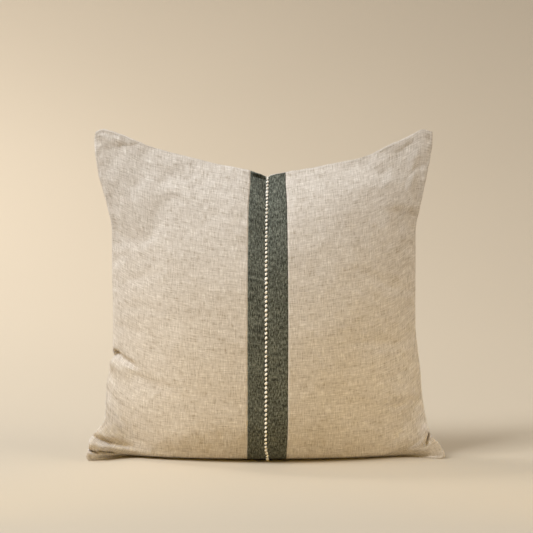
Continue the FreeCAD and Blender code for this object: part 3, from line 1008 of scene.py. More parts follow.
    def skin(self, side: Side, cloth_x: float, level: float) -> tuple[Vector, Vector]:
        """The smooth filled form.

        Args:
            side: Front or back.
            cloth_x: Place across the flat cloth, in metres from its middle.
            level: Place up the flat cloth, from 0 at the bottom seam to 1 at the top seam.

        Returns:
            The place in space and the rough outward direction there.
        """
        share = max(-1.0, min(1.0, cloth_x / self.half_cloth))
        away = abs(share)
        end = math.copysign(1.0, share)
        edge = self.right_edge if share > 0.0 else self.left_edge
        width = edge.at(level * self.top_edge.at(end))
        at_edge = away ** self.flat_edge
        rise = max(0.0, (level - self.base_share) / (1.0 - self.base_share))
        top = self.top_at(side, share, level)
        lift = self.base_lift * min(1.0, level / self.base_share) ** 3
        z = (lift + rise * (top - lift)) * (1.0 - at_edge) + level * top * at_edge
        depth = self.depth_at(side, rise)
        if level < self.base_share:
            depth = self.base_half_depth * level / self.base_share
        depth = max(depth, 1e-5)
        radius = (width * width + depth * depth) / (2.0 * depth)
        reach = radius * math.asin(min(1.0, width / radius))
        turn = (abs(cloth_x) - (self.half_cloth - reach) * away ** 3) / radius
        x = end * radius * math.sin(turn)
        y = max(0.0, radius * math.cos(turn) - (radius - depth))
        outward = Vector((end * math.sin(turn), side.value * math.cos(turn), 0.0))
        if side is Side.BACK:
            held = self.by_zip(x, z)
            track = self.zip_axis_y + math.sqrt(max(0.0, self.zip_radius ** 2 - x * x))
            y += (track - y) * held
        ear = ease(*self.ear_across, away) * (1.0 - ease(*self.ear_up, level))
        reach = self.right_ear_reach if share > 0.0 else self.left_ear_reach
        return Vector((x, side.value * y - reach * ear, z)), outward

    def settled_shift(self, side: Side, share: float, level: float) -> Vector:
        """The shift that the cloth simulation found at one place.

        Args:
            side: Front or back.
            share: Place across, from -1 to 1.
            level: Place up, from 0 to 1.

        Returns:
            The shift in metres, which is nothing where no simulation ran.
        """
        rows = self.settled.get(side)
        if not rows:
            return Vector()
        column = (share * 0.5 + 0.5) * (len(rows[0]) - 1)
        row = level * (len(rows) - 1)
        left = min(int(column), len(rows[0]) - 2)
        low = min(int(row), len(rows) - 2)
        over = column - left
        up = row - low
        below = rows[low][left].lerp(rows[low][left + 1], over)
        above = rows[low + 1][left].lerp(rows[low + 1][left + 1], over)
        return below.lerp(above, up) * self.settled_share

    def surface(self, side: Side, cloth_x: float, level: float) -> Vector:
        """The finished outside of the cover, with its folds and puckers.

        Args:
            side: Front or back.
            cloth_x: Place across the flat cloth, in metres from its middle.
            level: Place up the flat cloth, from 0 to 1.

        Returns:
            The place in space.
        """
        share = cloth_x / self.half_cloth
        place, outward = self.skin(side, cloth_x, level)
        free = 1.0
        if side is Side.BACK:
            free = 1.0 - self.by_zip(place.x, place.z)
        place = place + self.settled_shift(side, share, level) * free
        x, z = place.x, place.z
        to_side = (1.0 - abs(share)) * self.half_cloth
        to_top = (1.0 - level) * 2.0 * self.half_cloth
        to_seam = min(to_side, to_top)
        inside = ease(0.0, self.flat_at_seam, min(to_seam, level * 2.0 * self.half_cloth))
        wide, tall, apart = self.wave_scale
        broad = Vector((cloth_x * wide, level * tall, apart * side.value))
        small = broad * self.small_wave_ratio
        push = self.broad_wave * noise.noise(broad) + self.small_wave * noise.noise(small)
        along_seam = level * 2.0 * self.half_cloth if to_side < to_top else cloth_x
        fine = self.seam_pucker.per_metre
        push += self.seam_pucker.at((along_seam * fine, 5.0 * side.value, share), to_seam)
        push *= inside
        if side is Side.FRONT:
            folds = sum(crease.push(x, z) for crease in self.creases if not crease.through)
            push += folds * ease(0.0, self.fold_end, to_seam)
            rolled = max(0.0, 1.0 - (abs(cloth_x) - self.join_half) / self.join_roll)
            push -= self.join_sink * rolled * rolled
        off_floor = ease(0.0, self.calm_floor, z)
        place = place + outward * push * free * off_floor
        shared = sum(crease.push(x, z) for crease in self.creases if crease.through)
        above = ease(0.0, self.firm_floor, z)
        corner = 1.0 + ease(*self.crumpled_across, -share) * ease(*self.crumpled_up, level)
        fine = self.seam_wave.per_metre
        wave = self.seam_wave.at((x * fine, z * fine, 1.3), to_seam)
        place.y -= (shared + wave * corner) * above
        fine = self.seam_lift.per_metre
        lift = self.seam_lift.at((x * fine, 8.0, z * fine), to_seam)
        place.z += lift * corner * above
        if side is Side.FRONT:
            edge_drift = self.right_drift if cloth_x > 0.0 else self.left_drift
            out = min(1.0, abs(cloth_x) / self.stripe_half)
            drift = self.join_drift.at(z) * (1.0 - out) + edge_drift.at(z) * out
            place.x += drift * (1.0 - ease(self.stripe_half, self.drift_end, abs(cloth_x)))
        place.z = max(0.0, place.z)
        return place

    def inner(self, side: Side, cloth_x: float, level: float, inset: float) -> Vector:
        """The form of a layer inside the cover, a set distance in.

        Args:
            side: Front or back.
            cloth_x: Place across the flat cloth.
            level: Place up the flat cloth.
            inset: How far inside the cover the layer lies.

        Returns:
            The place in space.
        """
        share = cloth_x / self.half_cloth
        upright = abs(2.0 * level - 1.0)
        corner = ease(self.pad_corner, 1.0, abs(share)) * ease(self.pad_corner, 1.0, upright)
        reach = self.pad_share * (1.0 - self.pad_rounding * corner)
        inner_x = cloth_x * reach
        inner_level = 0.5 + (level - 0.5) * reach
        places = {each: self.surface(each, inner_x, inner_level) for each in Side}
        middle = (places[Side.FRONT] + places[Side.BACK]) / 2.0
        rim = max(abs(share), upright)
        fullness = (1.0 - inset / self.half_depth) * math.sqrt(1.0 - rim ** self.pad_rim)
        place = middle + (places[side] - middle) * fullness
        half_height = self.centre_height * 0.5
        place.x *= 1.0 - inset * 0.5 / self.half_cloth
        place.z = half_height + (place.z - half_height) * (1.0 - inset / half_height)
        return place

    def sheet(
        self, side: Side, columns: Sequence[float], rows: Sequence[float],
        shape: Callable[[Side, float, float], Vector],
    ) -> bmesh.types.BMesh:
        """A cloth sheet laid on the form, with its flat place as its UV map.

        Args:
            side: Front or back.
            columns: Places across the flat cloth, rising.
            rows: Levels up the flat cloth, rising.
            shape: Gives the place in space of a side, place across and level.

        Returns:
            The sheet, facing outwards.
        """
        made = bmesh.new()
        bmesh.ops.create_grid(
            made, x_segments=len(columns) - 1, y_segments=len(rows) - 1, size=0.5
        )
        made.verts.index_update()
        flat = made.loops.layers.uv.new(CLOTH_UV)
        spots: dict[int, tuple[float, float]] = {}
        for vertex in made.verts:
            column = round((vertex.co.x + 0.5) * (len(columns) - 1))
            row = round((vertex.co.y + 0.5) * (len(rows) - 1))
            spots[vertex.index] = (columns[column], rows[row])
        for vertex in made.verts:
            vertex.co = shape(side, *spots[vertex.index])
        for face in made.faces:
            for loop in face.loops:
                across, level = spots[loop.vert.index]
                loop[flat].uv = (across, level * 2.0 * self.half_cloth)
        if side is Side.BACK:
            bmesh.ops.reverse_faces(made, faces=made.faces)
        return made

    def settle(self, step: float = 0.0055, frames: int = 20, cap: float = 0.014) -> None:
        """Blows the closed cushion up as cloth and keeps how far each place moved.

        Args:
            step: Spacing of the simulated cloth.
            frames: Length of the simulation.
            cap: The most that a point may move.
        """
        across = int(2.0 * self.half_cloth / step)
        columns = [self.half_cloth * (2.0 * i / across - 1.0) for i in range(across + 1)]
        rows = [i / across for i in range(across + 1)]
        closed = joined([
            self.sheet(side, columns, rows, lambda *spot: self.skin(*spot)[0]) for side in Side
        ])
        count = (across + 1) * (across + 1)
        start = [vertex.co.copy() for vertex in closed.verts]
        rim = [
            row * (across + 1) + column
            for row in range(across + 1) for column in range(across + 1)
            if row in (0, across) or column in (0, across)
        ]
        targets = {closed.verts[index + count]: closed.verts[index] for index in rim}
        twin = {index: index for index in range(2 * count)}
        twin.update((old.index, new.index) for old, new in targets.items())
        kept = [vertex for vertex in closed.verts if vertex not in targets]
        order = {vertex.index: number for number, vertex in enumerate(kept)}
        bmesh.ops.weld_verts(closed, targetmap=targets)
        puffed = new_piece("puffed", closed)
        self.hold(puffed, {order[index] for index in rim})
        moved = self.blown(puffed, frames)
        for offset, side in zip((0, count), (Side.FRONT, Side.BACK)):
            self.settled[side] = []
            for row in range(across + 1):
                line = []
                for column in range(across + 1):
                    index = row * (across + 1) + column + offset
                    shift = moved[order[twin[index]]] - start[index]
                    if shift.length > cap:
                        shift = shift * (cap / shift.length)
                    line.append(shift)
                self.settled[side].append(line)
        mesh = puffed.data
        bpy.data.objects.remove(puffed)
        bpy.data.meshes.remove(mesh)

    def hold(self, puffed: bpy.types.Object, rim: set[int]) -> None:
        """Marks where the cushion is held: its seam, along the zip, and where it stands.

        Args:
            puffed: The closed cushion.
            rim: Numbers of the vertices on its seam.
        """
        held = puffed.vertex_groups.new(name="held")
        for vertex in puffed.data.vertices:
            on_floor = vertex.co.z < self.floor_band
            by_zip = self.by_zip(vertex.co.x, vertex.co.z) if vertex.co.y > 0.0 else 0.0
            firm = 1.0 if vertex.index in rim or on_floor else by_zip
            if firm > 0.0:
                held.add([vertex.index], firm, "REPLACE")

    def blown(self, puffed: bpy.types.Object, frames: int) -> list[Vector]:
        """Runs the cloth simulation.

        Args:
            puffed: The closed cushion, with its held places marked.
            frames: Length of the simulation.

        Returns:
            Where each of its vertices has come to.
        """
        cloth = puffed.modifiers.new("Cloth", "CLOTH")
        how = cloth.settings
        how.quality = 5
        how.mass = 0.25
        how.tension_stiffness = 22.0
        how.compression_stiffness = 12.0
        how.shear_stiffness = 6.0
        how.bending_stiffness = 0.9
        how.shrink_min = -0.022
        how.use_pressure = True
        how.uniform_pressure_force = 3.2
        how.vertex_group_mass = "held"
        how.effector_weights.gravity = 0.0
        cloth.point_cache.frame_start = 1
        cloth.point_cache.frame_end = frames
        for number in range(1, frames + 1):
            bpy.context.scene.frame_set(number)
        graph = bpy.context.evaluated_depsgraph_get()
        blown = puffed.evaluated_get(graph).to_mesh()
        moved = [vertex.co.copy() for vertex in blown.vertices]
        puffed.evaluated_get(graph).to_mesh_clear()
        bpy.context.scene.frame_set(1)
        return moved


def form_from_frame() -> PillowForm:
    """Reads the pillow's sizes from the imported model.

    Returns:
        The form, with the sizes that the model gives.
    """
    panel_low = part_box("front_panel_left")[0]
    band_low, band_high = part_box("dark_band_left")
    upper_tape_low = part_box("zip_tape_upper")[0]
    lower_tape_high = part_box("zip_tape_lower")[1]
    back_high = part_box("back_panel_upper")[1]
    travel = [joint for joint in frame["joints"] if joint["name"] == "slider_travel"][0]
    zip_height = (upper_tape_low[2] + lower_tape_high[2]) / 2.0
    centre_height = band_high[2] - BAND_RISE
    axis_y = travel["pos_m"][1]
    return PillowForm(
        half_cloth=-panel_low[0],
        centre_height=centre_height,
        half_depth=-band_low[1],
        fullest=zip_height / centre_height,
        stripe_half=-band_low[0],
        join_half=-band_high[0],
        zip_height=zip_height,
        zip_axis_y=axis_y,
        zip_radius=back_high[1] - axis_y,
    )


def spread(start: float, end: float, step: float) -> list[float]:
    """Even places from start to end, no further apart than step."""
    count = max(1, math.ceil((end - start) / step))
    return [start + (end - start) * index / count for index in range(count + 1)]


def two_spreads(
    start: float, middle: float, end: float, steps: tuple[float, float]
) -> list[float]:
    """Even places with one step up to the middle and another after it."""
    return spread(start, middle, steps[0])[:-1] + spread(middle, end, steps[1])


# ------------------------------------------------------------------------------ cover

@dataclass
class LinenCover:
    """The linen cover: two front halves with their dark bands, the back and the stitching."""

    form: PillowForm
    cloths: Cloths
    cell: float = 0.0024
    fine_cell: float = 0.0013
    fine_reach: float = 0.050
    join_cells: tuple[float, ...] = (0.0011, 0.0019, 0.0030, 0.0048)
    lower_back: float = 0.168
    linen_thickness: float = 0.0011
    thin_edge: float = 0.35
    thin_reach: float = 0.0008
    slot_half: float = 0.0060
    slot_end: float = 0.1715
    hem_turn: float = 0.0030
    hem_steps: tuple[float, float] = (0.35, 1.0)
    hem_depth: float = 0.6
    hem_fold: float = 0.55
    hem_spread: float = 0.5
    bead_pitch: float = 0.0061
    bead_length: float = 0.0050
    bead_width: float = 0.0031
    bead_arch: float = 0.0009
    bead_ends: tuple[float, float] = (0.0035, 0.002)
    bead_lean: tuple[float, float] = (20.0, 34.0)
    bead_length_range: tuple[float, float] = (0.94, 1.06)
    bead_width_range: tuple[float, float] = (0.86, 1.12)
    bead_flatness: float = 0.92
    bead_rise: float = 0.42
    ply_twist: float = 7.0
    ply_depth: float = 0.13
    hairs: int = 70
    hair_radii: tuple[float, float] = (0.00013, 0.00003)
    hair_length: tuple[float, float] = (0.003, 0.0065)
    hair_tilt: float = 0.5
    hair_spread: tuple[float, float, float] = (0.0012, 0.0008, 0.003)
    seam_inset: float = 0.0035
    seam_radius: float = 0.0004
    seam_lowest: float = 0.0018
    seam_steps: tuple[float, float] = (0.012, 0.024)

    def rows(self) -> list[float]:
        """Levels of the cloth's grid, finer at the bottom, where the ears are.

        Returns:
            The levels, rising from 0 to 1.
        """
        length = 2.0 * self.form.half_cloth
        steps = (self.fine_cell / length, self.cell / length)
        return two_spreads(0.0, self.fine_reach / length, 1.0, steps)

    def thicken(self, piece: bpy.types.Object) -> None:
        """Gives a sheet its thickness inwards, thinner where it runs into a seam.

        Args:
            piece: The sheet.
        """
        group = piece.vertex_groups.new(name="thick")
        group.add(range(len(piece.data.vertices)), 1.0, "REPLACE")
        flat = piece.data.uv_layers[CLOTH_UV].data
        rim = self.form.half_cloth - self.thin_reach
        for loop in piece.data.loops:
            across, along = flat[loop.index].uv
            if abs(across) > rim or along < self.thin_reach or along > 2.0 * rim:
                group.add([loop.vertex_index], self.thin_edge, "REPLACE")
        wall = piece.modifiers.new("Cloth thickness", "SOLIDIFY")
        wall.thickness = self.linen_thickness
        wall.offset = -1.0
        wall.vertex_group = group.name
        wall.thickness_vertex_group = self.thin_edge

    def front_pieces(self) -> list[bpy.types.Object]:
        """The two linen halves and the two dark bands.

        Returns:
            The four sheets.
        """
        form = self.form
        near_join = [form.join_half, *self.join_cells]
        band = near_join[:-1] + spread(near_join[-1], form.stripe_half, self.cell)
        linen = two_spreads(form.stripe_half, form.half_cloth - self.fine_reach,
                            form.half_cloth, (self.cell, self.fine_cell))
        made = []
        for kind, places, material, slot, node_kind in (
            ("front_linen", linen, self.cloths.linen, "linen", "front_panel"),
            ("stripe_cloth", band, self.cloths.stripe, "dark_stripe", "dark_band"),
        ):
            for hand, sign in (("left", -1.0), ("right", 1.0)):
                columns = sorted(sign * place for place in places)
                shape = form.sheet(Side.FRONT, columns, self.rows(), form.surface)
                piece = new_piece(f"{kind}_{hand}", shape)
                self.thicken(piece)
                fit(piece, material, [f"{node_kind}_{hand}"], slot)
                columns[-1] - columns[0]
                made.append(piece)
        return made

    def whole_back(self) -> bmesh.types.BMesh:
        """The back in one sheet, with edges along the zip and round its opening.

        Returns:
            The sheet.
        """
        form = self.form
        columns = spread(-form.half_cloth, form.half_cloth, self.cell)
        whole = form.sheet(Side.BACK, columns, self.rows(), form.surface)
        cuts = [
            (Vector((0, 0, form.zip_height + rise)), Vector((0, 0, 1)))
            for rise in (0.0, -self.slot_half, self.slot_half)
        ]
        cuts += [
            (Vector((end, 0, 0)), Vector((1, 0, 0))) for end in (-self.slot_end, self.slot_end)
        ]
        for place, normal in cuts:
            bmesh.ops.bisect_plane(
                whole, geom=whole.verts[:] + whole.edges[:] + whole.faces[:],
                plane_co=place, plane_no=normal, dist=1e-6,
            )
        return whole

    def back_pieces(self) -> list[bpy.types.Object]:
        """The back, cut along the zip into an upper and a lower sheet with turned hems.

        Returns:
            The two sheets.
        """
        form = self.form
        whole = self.whole_back()
        scratch = bpy.data.meshes.new("whole_back")
        whole.to_mesh(scratch)
        whole.free()
        length = 2.0 * form.half_cloth
        made = []
        for place, above, height in (
            ("upper", True, length - self.lower_back), ("lower", False, self.lower_back),
        ):
            part = bmesh.new()
            part.from_mesh(scratch)
            gone = []
            for face in part.faces:
                middle = face.calc_center_median()
                wrong_half = (middle.z > form.zip_height) != above
                in_slot = (
                    abs(middle.z - form.zip_height) < self.slot_half
                    and abs(middle.x) < self.slot_end
                )
                if wrong_half or in_slot:
                    gone.append(face)
            bmesh.ops.delete(part, geom=gone, context="FACES")
            self.turn_hem(part)
            piece = new_piece(f"back_linen_{place}", part)
            self.thicken(piece)
            fit(piece, self.cloths.linen, [f"back_panel_{place}"], "linen")
            made.append(piece)
        bpy.data.meshes.remove(scratch)
        return made

    def turn_hem(self, sheet: bmesh.types.BMesh) -> None:
        """Turns the cloth's edge in along the zip's opening.

        Args:
            sheet: One part of the back.
        """
        form = self.form
        edges = []
        for edge in sheet.edges:
            if not edge.is_boundary:
                continue
            ends = [vertex.co for vertex in edge.verts]
            if all(
                abs(abs(place.z - form.zip_height) - self.slot_half) < 1e-5
                and abs(place.x) <= self.slot_end + 1e-5 for place in ends
            ):
                edges.append(edge)
        for inwards in self.hem_steps:
            grown = bmesh.ops.extrude_edge_only(sheet, edges=edges)["geom"]
            edges = [item for item in grown if isinstance(item, bmesh.types.BMEdge)]
            for vertex in [item for item in grown if isinstance(item, bmesh.types.BMVert)]:
                axis = Vector((0.0, form.zip_axis_y, vertex.co.z))
                inward = (axis - vertex.co).normalized()
                depth = inward * self.hem_turn * inwards * self.hem_depth
                away = math.copysign(
                    self.hem_turn * (inwards - self.hem_fold) * self.hem_spread,
                    vertex.co.z - form.zip_height,
                )
                vertex.co = vertex.co + depth + Vector((0.0, 0.0, away))
            edges = [edge for edge in edges if edge.is_boundary]

    def join_line(self) -> list[Vector]:
        """Evenly spaced places of the joining stitches.

        Returns:
            The places, from the bottom to the top.
        """
        line = []
        for index in range(1201):
            sides = [
                self.form.surface(Side.FRONT, across, index / 1200.0)
                for across in (-self.form.join_half, self.form.join_half)
            ]
            line.append((sides[0] + sides[1]) / 2.0)
        lowest, below_top = self.bead_ends
        line = [place for place in line if lowest < place.z < line[-1].z - below_top]
        places = [line[0]]
        travelled = 0.0
        for before, after in zip(line, line[1:]):
            travelled += (after - before).length
            if travelled >= self.bead_pitch:
                places.append(after)
                travelled -= self.bead_pitch
        return places

    def add_bead(
        self, yarn: bmesh.types.BMesh, places: Sequence[Vector], index: int, dice: random.Random
    ) -> None:
        """Adds one hand stitch, a leaning bead of twisted yarn.

        Args:
            yarn: The stitches so far.
            places: Places of all the stitches.
            index: Number of this one.
            dice: Source of its small differences.
        """
        place = places[index]
        ahead = places[min(index + 1, len(places) - 1)]
        behind = places[max(index - 1, 0)]
        along = (ahead - behind).normalized()
        outward = along.cross(Vector((-1.0, 0.0, 0.0))).normalized()
        if outward.y > 0.0:
            outward = -outward
        across = along.cross(outward).normalized()
        lean = math.radians(dice.uniform(*self.bead_lean))
        length = self.bead_length * dice.uniform(*self.bead_length_range)
        width = self.bead_width * dice.uniform(*self.bead_width_range)
        bead = bmesh.ops.create_uvsphere(yarn, u_segments=12, v_segments=10, radius=0.5)
        for vertex in bead["verts"]:
            spot = vertex.co.copy()
            angle = math.atan2(spot.y, spot.x) * 2.0 + spot.z * self.ply_twist + index
            ply = 1.0 + self.ply_depth * math.cos(angle)
            spot = Vector((
                spot.x * width * ply, spot.y * width * self.bead_flatness * ply, spot.z * length
            ))
            tipped = Matrix.Rotation(lean, 3, "Y") @ spot
            arch = self.bead_arch * (2.0 * spot.z / length) ** 2
            raised = tipped.y + width * self.bead_rise - arch
            vertex.co = place + across * tipped.x + outward * raised + along * tipped.z
            vertex.co.z = max(0.0, vertex.co.z)

    def add_hair(
        self, yarn: bmesh.types.BMesh, places: Sequence[Vector], dice: random.Random
    ) -> None:
        """Adds one loose fibre of the yarn.

        Args:
            yarn: The stitches so far.
            places: Places of all the stitches.
            dice: Source of where it lies.
        """
        place = dice.choice(places)
        hair = bmesh.ops.create_cone(
            yarn, cap_ends=True, segments=3, radius1=self.hair_radii[0],
            radius2=self.hair_radii[1], depth=dice.uniform(*self.hair_length),
        )
        turn = Matrix.Rotation(dice.uniform(0.0, math.tau), 4, "Y")
        tilt = Matrix.Rotation(dice.uniform(-self.hair_tilt, self.hair_tilt), 4, "X")
        aside, outward, along = self.hair_spread
        shift = Vector((dice.uniform(-aside, aside), -outward, dice.uniform(-along, along)))
        bmesh.ops.transform(
            yarn, matrix=Matrix.Translation(place + shift) @ turn @ tilt, verts=hair["verts"]
        )

    def joining_yarn(self) -> bpy.types.Object:
        """The thick cream hand stitches along the join.

        Returns:
            All of them, as one piece.
        """
        dice = random.Random(20)
        yarn = bmesh.new()
        places = self.join_line()
        for index in range(len(places)):
            self.add_bead(yarn, places, index, dice)
        for _ in range(self.hairs):
            self.add_hair(yarn, places, dice)
        piece = new_piece("joining_yarn", yarn)
        return fit(piece, self.cloths.cream, ["joining_stitch"], "cream_thread")

    def seam_place(self, share: float, level: float) -> Vector:
        """A place halfway between the front and the back cloth.

        Args:
            share: Place across, from -1 to 1.
            level: Place up, from 0 to 1.

        Returns:
            The place in space, clear of the floor.
        """
        across = share * self.form.half_cloth
        sides = [self.form.surface(side, across, level) for side in Side]
        middle = (sides[0] + sides[1]) / 2.0
        middle.z = max(middle.z, self.seam_lowest)
        return middle

    def seam_thread(self) -> bpy.types.Object:
        """The thread that sews front to back, just inside the edge.

        Returns:
            The thread.
        """
        near = 1.0 - self.seam_inset / self.form.half_cloth
        rises = spread(1.0 - near, near, self.seam_steps[0])
        runs = spread(-near, near, self.seam_steps[1])[1:-1]
        path = [self.seam_place(-near, level) for level in rises]
        path += [self.seam_place(share, near) for share in runs]
        path += [self.seam_place(near, level) for level in reversed(rises)]
        path += [self.seam_place(share, 1.0 - near) for share in reversed(runs)]
        piece = tube_along("seam_thread_run", path, self.seam_radius, closed=True)
        return fit(piece, self.cloths.thread, ["side_seam_thread"], "linen_thread")

    def build(self) -> list[bpy.types.Object]:
        """Builds and dresses the cover.

        Returns:
            Its pieces.
        """
        made = self.front_pieces()
        made += self.back_pieces()
        made.append(self.joining_yarn())
        made.append(self.seam_thread())
        return made


# ------------------------------------------------------------------------------ zip

@dataclass
class ZipFastener:
    """The zip in the back: tapes, coils, stitching and metal parts."""

    form: PillowForm
    cloths: Cloths
    turn_pitch: float = 0.0016
    filament: float = 0.00030
    stitch_pitch: float = 0.0030
    stitch_thread: float = 0.00032
    stitch_lean: float = 0.10
    tape_thickness: float = 0.00052
    tape_sink: float = 0.00005
    steps_per_turn: int = 10
    coil_flatness: float = 0.9
    stitch_share: float = 0.44
    stitch_rise: float = 0.15

    def spot(self, angle: float, radius: float, height: float) -> Vector:
        """A place near the zip.

        Args:
            angle: Angle from the middle of the back towards +X, about the zip's upright axis.
            radius: Distance from that axis.
            height: Height above the floor.

        Returns:
            The place in space.
        """
        return Vector((
            radius * math.sin(angle), self.form.zip_axis_y + radius * math.cos(angle), height
        ))

    def tape(self, name: str, node: str) -> bpy.types.Object:
        """One zip tape, bent round the back.

        Args:
            name: Name of the piece.
            node: The CAD node that it stands for, which gives its place.

        Returns:
            The tape.
        """
        low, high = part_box(node)
        radius = high[1] - self.form.zip_axis_y
        half_sweep = math.asin(high[0] / radius)
        length = 2.0 * half_sweep * radius
        width = high[2] - low[2]
        made = bmesh.new()
        bmesh.ops.create_grid(made, x_segments=180, y_segments=8, size=0.5)
        flat = made.loops.layers.uv.new(CLOTH_UV)
        for face in made.faces:
            for loop in face.loops:
                spot = loop.vert.co
                loop[flat].uv = (spot.x * length, spot.y * width)
        for vertex in made.verts:
            angle = vertex.co.x * 2.0 * half_sweep
            height = (low[2] + high[2]) / 2.0 + vertex.co.y * width
            vertex.co = self.spot(angle, radius - self.tape_sink, height)
        bmesh.ops.reverse_faces(made, faces=made.faces)
        piece = new_piece(name, made)
        wall = piece.modifiers.new("Tape thickness", "SOLIDIFY")
        wall.thickness = self.tape_thickness
        wall.offset = -1.0
        fit(piece, self.cloths.tape, [node], "zip_tape")
        return piece

    def coil(self, name: str, node: str) -> bpy.types.Object:
        """One coil, a filament wound in flat turns along the edge of its tape.

        Args:
            name: Name of the piece.
            node: The CAD node that it stands for, which gives its place.

        Returns:
            The coil.
        """
        low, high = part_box(node)
        half_thick = (high[2] - low[2]) / 2.0
        middle = (high[2] + low[2]) / 2.0
        track = high[1] - half_thick - self.form.zip_axis_y
        half_sweep = math.asin(min(1.0, high[0] / (track + half_thick)))
        turns = int(2.0 * half_sweep * track / self.turn_pitch)
        steps = turns * self.steps_per_turn
        path = []
        for step in range(steps + 1):
            angle = half_sweep * (2.0 * step / steps - 1.0)
            wound = math.tau * step / self.steps_per_turn
            across = (half_thick - self.filament) * math.cos(wound)
            out = (half_thick - self.filament) * self.coil_flatness * math.sin(wound)
            path.append(self.spot(angle, track + out, middle + across))
        piece = tube_along(name, path, self.filament, closed=False)
        return fit(piece, self.cloths.coil, [node], "zip_coil")

    def row(self, name: str, node: str) -> bpy.types.Object:
        """One row of machine stitches on the back, beside the opening.

        Args:
            name: Name of the piece.
            node: The CAD node that it stands for, which gives its place.

        Returns:
            The row.
        """
        low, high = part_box(node)
        height = (low[2] + high[2]) / 2.0
        radius = self.form.zip_radius
        half_sweep = math.asin(high[0] / radius)
        count = int(2.0 * half_sweep * radius / self.stitch_pitch)
        made = bmesh.new()
        for number in range(count):
            angle = half_sweep * (2.0 * (number + 0.5) / count - 1.0)
            stitch = bmesh.ops.create_uvsphere(made, u_segments=8, v_segments=6, radius=1.0)
            place = self.spot(angle, radius + self.stitch_thread * self.stitch_rise, height)
            shape = Matrix.Diagonal((
                self.stitch_pitch * self.stitch_share, self.stitch_thread, self.stitch_thread,
                1.0,
            ))
            turn = Matrix.Rotation(-angle, 4, "Z") @ Matrix.Rotation(self.stitch_lean, 4, "Y")
            bmesh.ops.transform(
                made, matrix=Matrix.Translation(place) @ turn @ shape, verts=stitch["verts"]
            )
        piece = new_piece(name, made)
        return fit(piece, self.cloths.thread, [node], "linen_thread")

    def build(self) -> list[bpy.types.Object]:
        """Builds the zip's cloth and coils and dresses its metal parts.

        Returns:
            The cloth, coils and stitching.
        """
        made = []
        for maker, name, node in (
            (self.tape, "zip_tape_weave", "zip_tape"),
            (self.coil, "zip_filament", "zip_coil"),
            (self.row, "zip_row", "zip_stitching"),
        ):
            for half in ("upper", "lower"):
                made.append(maker(f"{name}_{half}", f"{node}_{half}"))
        for node in ("zip_top_stops", "zip_bottom_stop", "zip_slider", "zip_pull_tab"):
            dress(frame["nodes"][node], self.cloths.metal)
        return made


# ------------------------------------------------------------------------------ pad inside

@dataclass
class PadInsert:
    """The filled pad inside the cover."""

    form: PillowForm
    cloths: Cloths
    casing_inset: float = 0.0095
    casing_lumps: float = 0.01
    filling_inset: float = 0.0120
    filling_lumps: float = 0.02
    lumps_per_metre: float = 24.0
    cell: float = 0.006

    def closed_layer(self, name: str, inset: float, lumps: float) -> bpy.types.Object:
        """A closed cushion a set distance inside the cover.

        Args:
            name: Name of the piece.
            inset: How far inside the cover it lies.
            lumps: Share of its depth by which it is uneven.

        Returns:
            The object.
        """
        form = self.form
        columns = spread(-form.half_cloth, form.half_cloth, self.cell)
        rows = spread(0.0, 1.0, self.cell / (2.0 * form.half_cloth))

        def shape(side: Side, cloth_x: float, level: float) -> Vector:
            """Place of the layer, with its lumps.

            Args:
                side: Front or back.
                cloth_x: Place across the flat cloth.
                level: Place up the flat cloth.

            Returns:
                The place in space.
            """
            place = form.inner(side, cloth_x, level, inset)
            depth = 1.0 + lumps * noise.noise(place * self.lumps_per_metre)
            return Vector((place.x, place.y * depth, place.z))

        whole = joined([form.sheet(side, columns, rows, shape) for side in Side])
        bmesh.ops.remove_doubles(whole, verts=whole.verts, dist=1e-5)
        bmesh.ops.recalc_face_normals(whole, faces=whole.faces)
        return new_piece(name, whole)

    def build(self) -> list[bpy.types.Object]:
        """Builds the casing and the filling.

        Returns:
            The two pieces.
        """
        casing = self.closed_layer("pad_casing", self.casing_inset, self.casing_lumps)
        fit(casing, self.cloths.cotton, ["insert_casing_front", "insert_casing_back"],
            "insert_cotton")
        filling = self.closed_layer("pad_filling", self.filling_inset, self.filling_lumps)
        fit(filling, self.cloths.fibre, ["insert_filling"], "fibre_filling")
        return [casing, filling]


# ------------------------------------------------------------------------------ studio

@dataclass(frozen=True)
class SoftLight:
    """A square soft light."""

    name: str
    place: tuple[float, float, float]
    size: float
    power: float
    colour: Colour
    target: tuple[float, float, float] = (0.0, 0.0, 0.22)
    beam_degrees: float = 180.0

    def build(self) -> None:
        """Puts the light in its place and aims it."""
        data = bpy.data.lights.new(self.name, "AREA")
        data.shape = "SQUARE"
        data.size = self.size
        data.energy = self.power
        data.color = self.colour
        data.spread = math.radians(self.beam_degrees)
        lamp = bpy.data.objects.new(self.name, data)
        lamp.location = self.place
        aim = Vector(self.target) - Vector(self.place)
        lamp.rotation_euler = aim.to_track_quat("-Z", "Y").to_euler()
        bpy.context.scene.collection.objects.link(lamp)


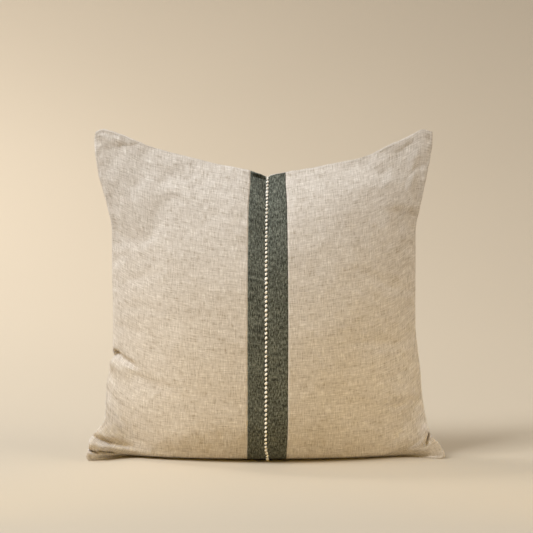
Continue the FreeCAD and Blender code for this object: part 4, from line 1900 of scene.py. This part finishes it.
@dataclass
class Studio:
    """A seamless warm sweep, soft lights and the camera."""

    paper: bpy.types.Material
    view_centre: tuple[float, float, float] = (0.0, 0.0, 0.2665)
    view_distance: float = 1.761
    view_height_angle: float = 1.6
    lens: float = 85.0
    sensor: float = 36.0
    floor_radius: float = 0.30
    sweep_curve: float = 4.5
    sweep_turn: float = 80.0
    room_colour: Colour = (1.0, 0.96, 0.90)
    room_light: float = 0.22
    lights: tuple[SoftLight, ...] = (
        SoftLight("key", (-1.2, -0.85, 1.95), 0.9, 45.0, (0.93, 0.98, 1.04)),
        SoftLight("left_fill", (-1.6, -0.4, 1.15), 0.8, 8.0, (0.97, 0.98, 1.0)),
        SoftLight("right_fill", (1.6, -0.5, 1.0), 1.0, 13.0, (1.0, 0.94, 0.84)),
        SoftLight("low_bounce", (-0.62, -0.62, 0.2), 0.12, 0.085, (1.0, 0.64, 0.03),
                  (0.0, 0.0, 0.035), 50.0),
        SoftLight("low_bounce", (0.62, -0.62, 0.2), 0.12, 0.085, (1.0, 0.64, 0.03),
                  (0.0, 0.0, 0.035), 50.0),
        SoftLight("backdrop_light", (-1.4, 0.7, 2.3), 1.2, 79.0, (1.0, 0.97, 0.94),
                  (-0.4, 3.2, 1.4)),
    )

    def sweep(self) -> bpy.types.Object:
        """A round floor that curves up gently all the way about.

        Returns:
            The floor.
        """
        profile = bmesh.new()
        places = [Vector((0.0, 0.0, 0.0))]
        steps = 32
        for step in range(steps + 1):
            turn = math.radians(self.sweep_turn * step / steps)
            places.append(Vector((
                self.floor_radius + self.sweep_curve * math.sin(turn), 0.0,
                self.sweep_curve * (1.0 - math.cos(turn)),
            )))
        line = [profile.verts.new(place) for place in places]
        edges = [profile.edges.new(pair) for pair in zip(line, line[1:])]
        bmesh.ops.spin(
            profile, geom=line + edges, cent=(0, 0, 0), axis=(0, 0, 1), angle=math.tau,
            steps=96, use_merge=True,
        )
        bmesh.ops.remove_doubles(profile, verts=profile.verts, dist=1e-5)
        bmesh.ops.recalc_face_normals(profile, faces=profile.faces)
        bmesh.ops.reverse_faces(profile, faces=profile.faces)
        floor = new_piece("seamless_sweep", profile)
        dress(floor, self.paper)
        floor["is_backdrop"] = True
        return floor

    def build(self) -> None:
        """Sets up the sweep, the lights and the camera."""
        scene = bpy.context.scene
        self.sweep()
        for light in self.lights:
            light.build()
        world = bpy.data.worlds.new("soft_room")
        world.use_nodes = True
        background = world.node_tree.nodes["Background"]
        background.inputs["Color"].default_value = (*self.room_colour, 1.0)
        background.inputs["Strength"].default_value = self.room_light
        scene.world = world
        scene.view_settings.view_transform = "Standard"
        camera_data = bpy.data.cameras.new("studio_camera")
        camera_data.lens = self.lens
        camera_data.sensor_width = self.sensor
        camera = bpy.data.objects.new("studio_camera", camera_data)
        tilt = math.radians(self.view_height_angle)
        away = Vector((0.0, -math.cos(tilt), math.sin(tilt)))
        camera.location = Vector(self.view_centre) + away * self.view_distance
        camera.rotation_euler = (-away).to_track_quat("-Z", "Y").to_euler()
        scene.collection.objects.link(camera)
        scene.camera = camera


def main() -> None:
    """Builds the pillow piece by piece and reports each one."""
    logging.basicConfig(level=logging.INFO, format="%(message)s")
    form = form_from_frame()
    cloths = Cloths()
    form.settle()
    LOG.info("cloth simulation done")
    Studio(cloths.paper).build()
    for maker in (PadInsert(form, cloths), LinenCover(form, cloths), ZipFastener(form, cloths)):
        for piece in maker.build():
            LOG.info("%s: %s, %d faces", type(maker).__name__, piece.name,
                     len(piece.data.polygons))
    boxes = {"cad": CAD_BOX, "visual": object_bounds()}
    {key: [list(corner) for corner in box] for key, box in boxes.items()}


if __name__ == "__main__":
    main()
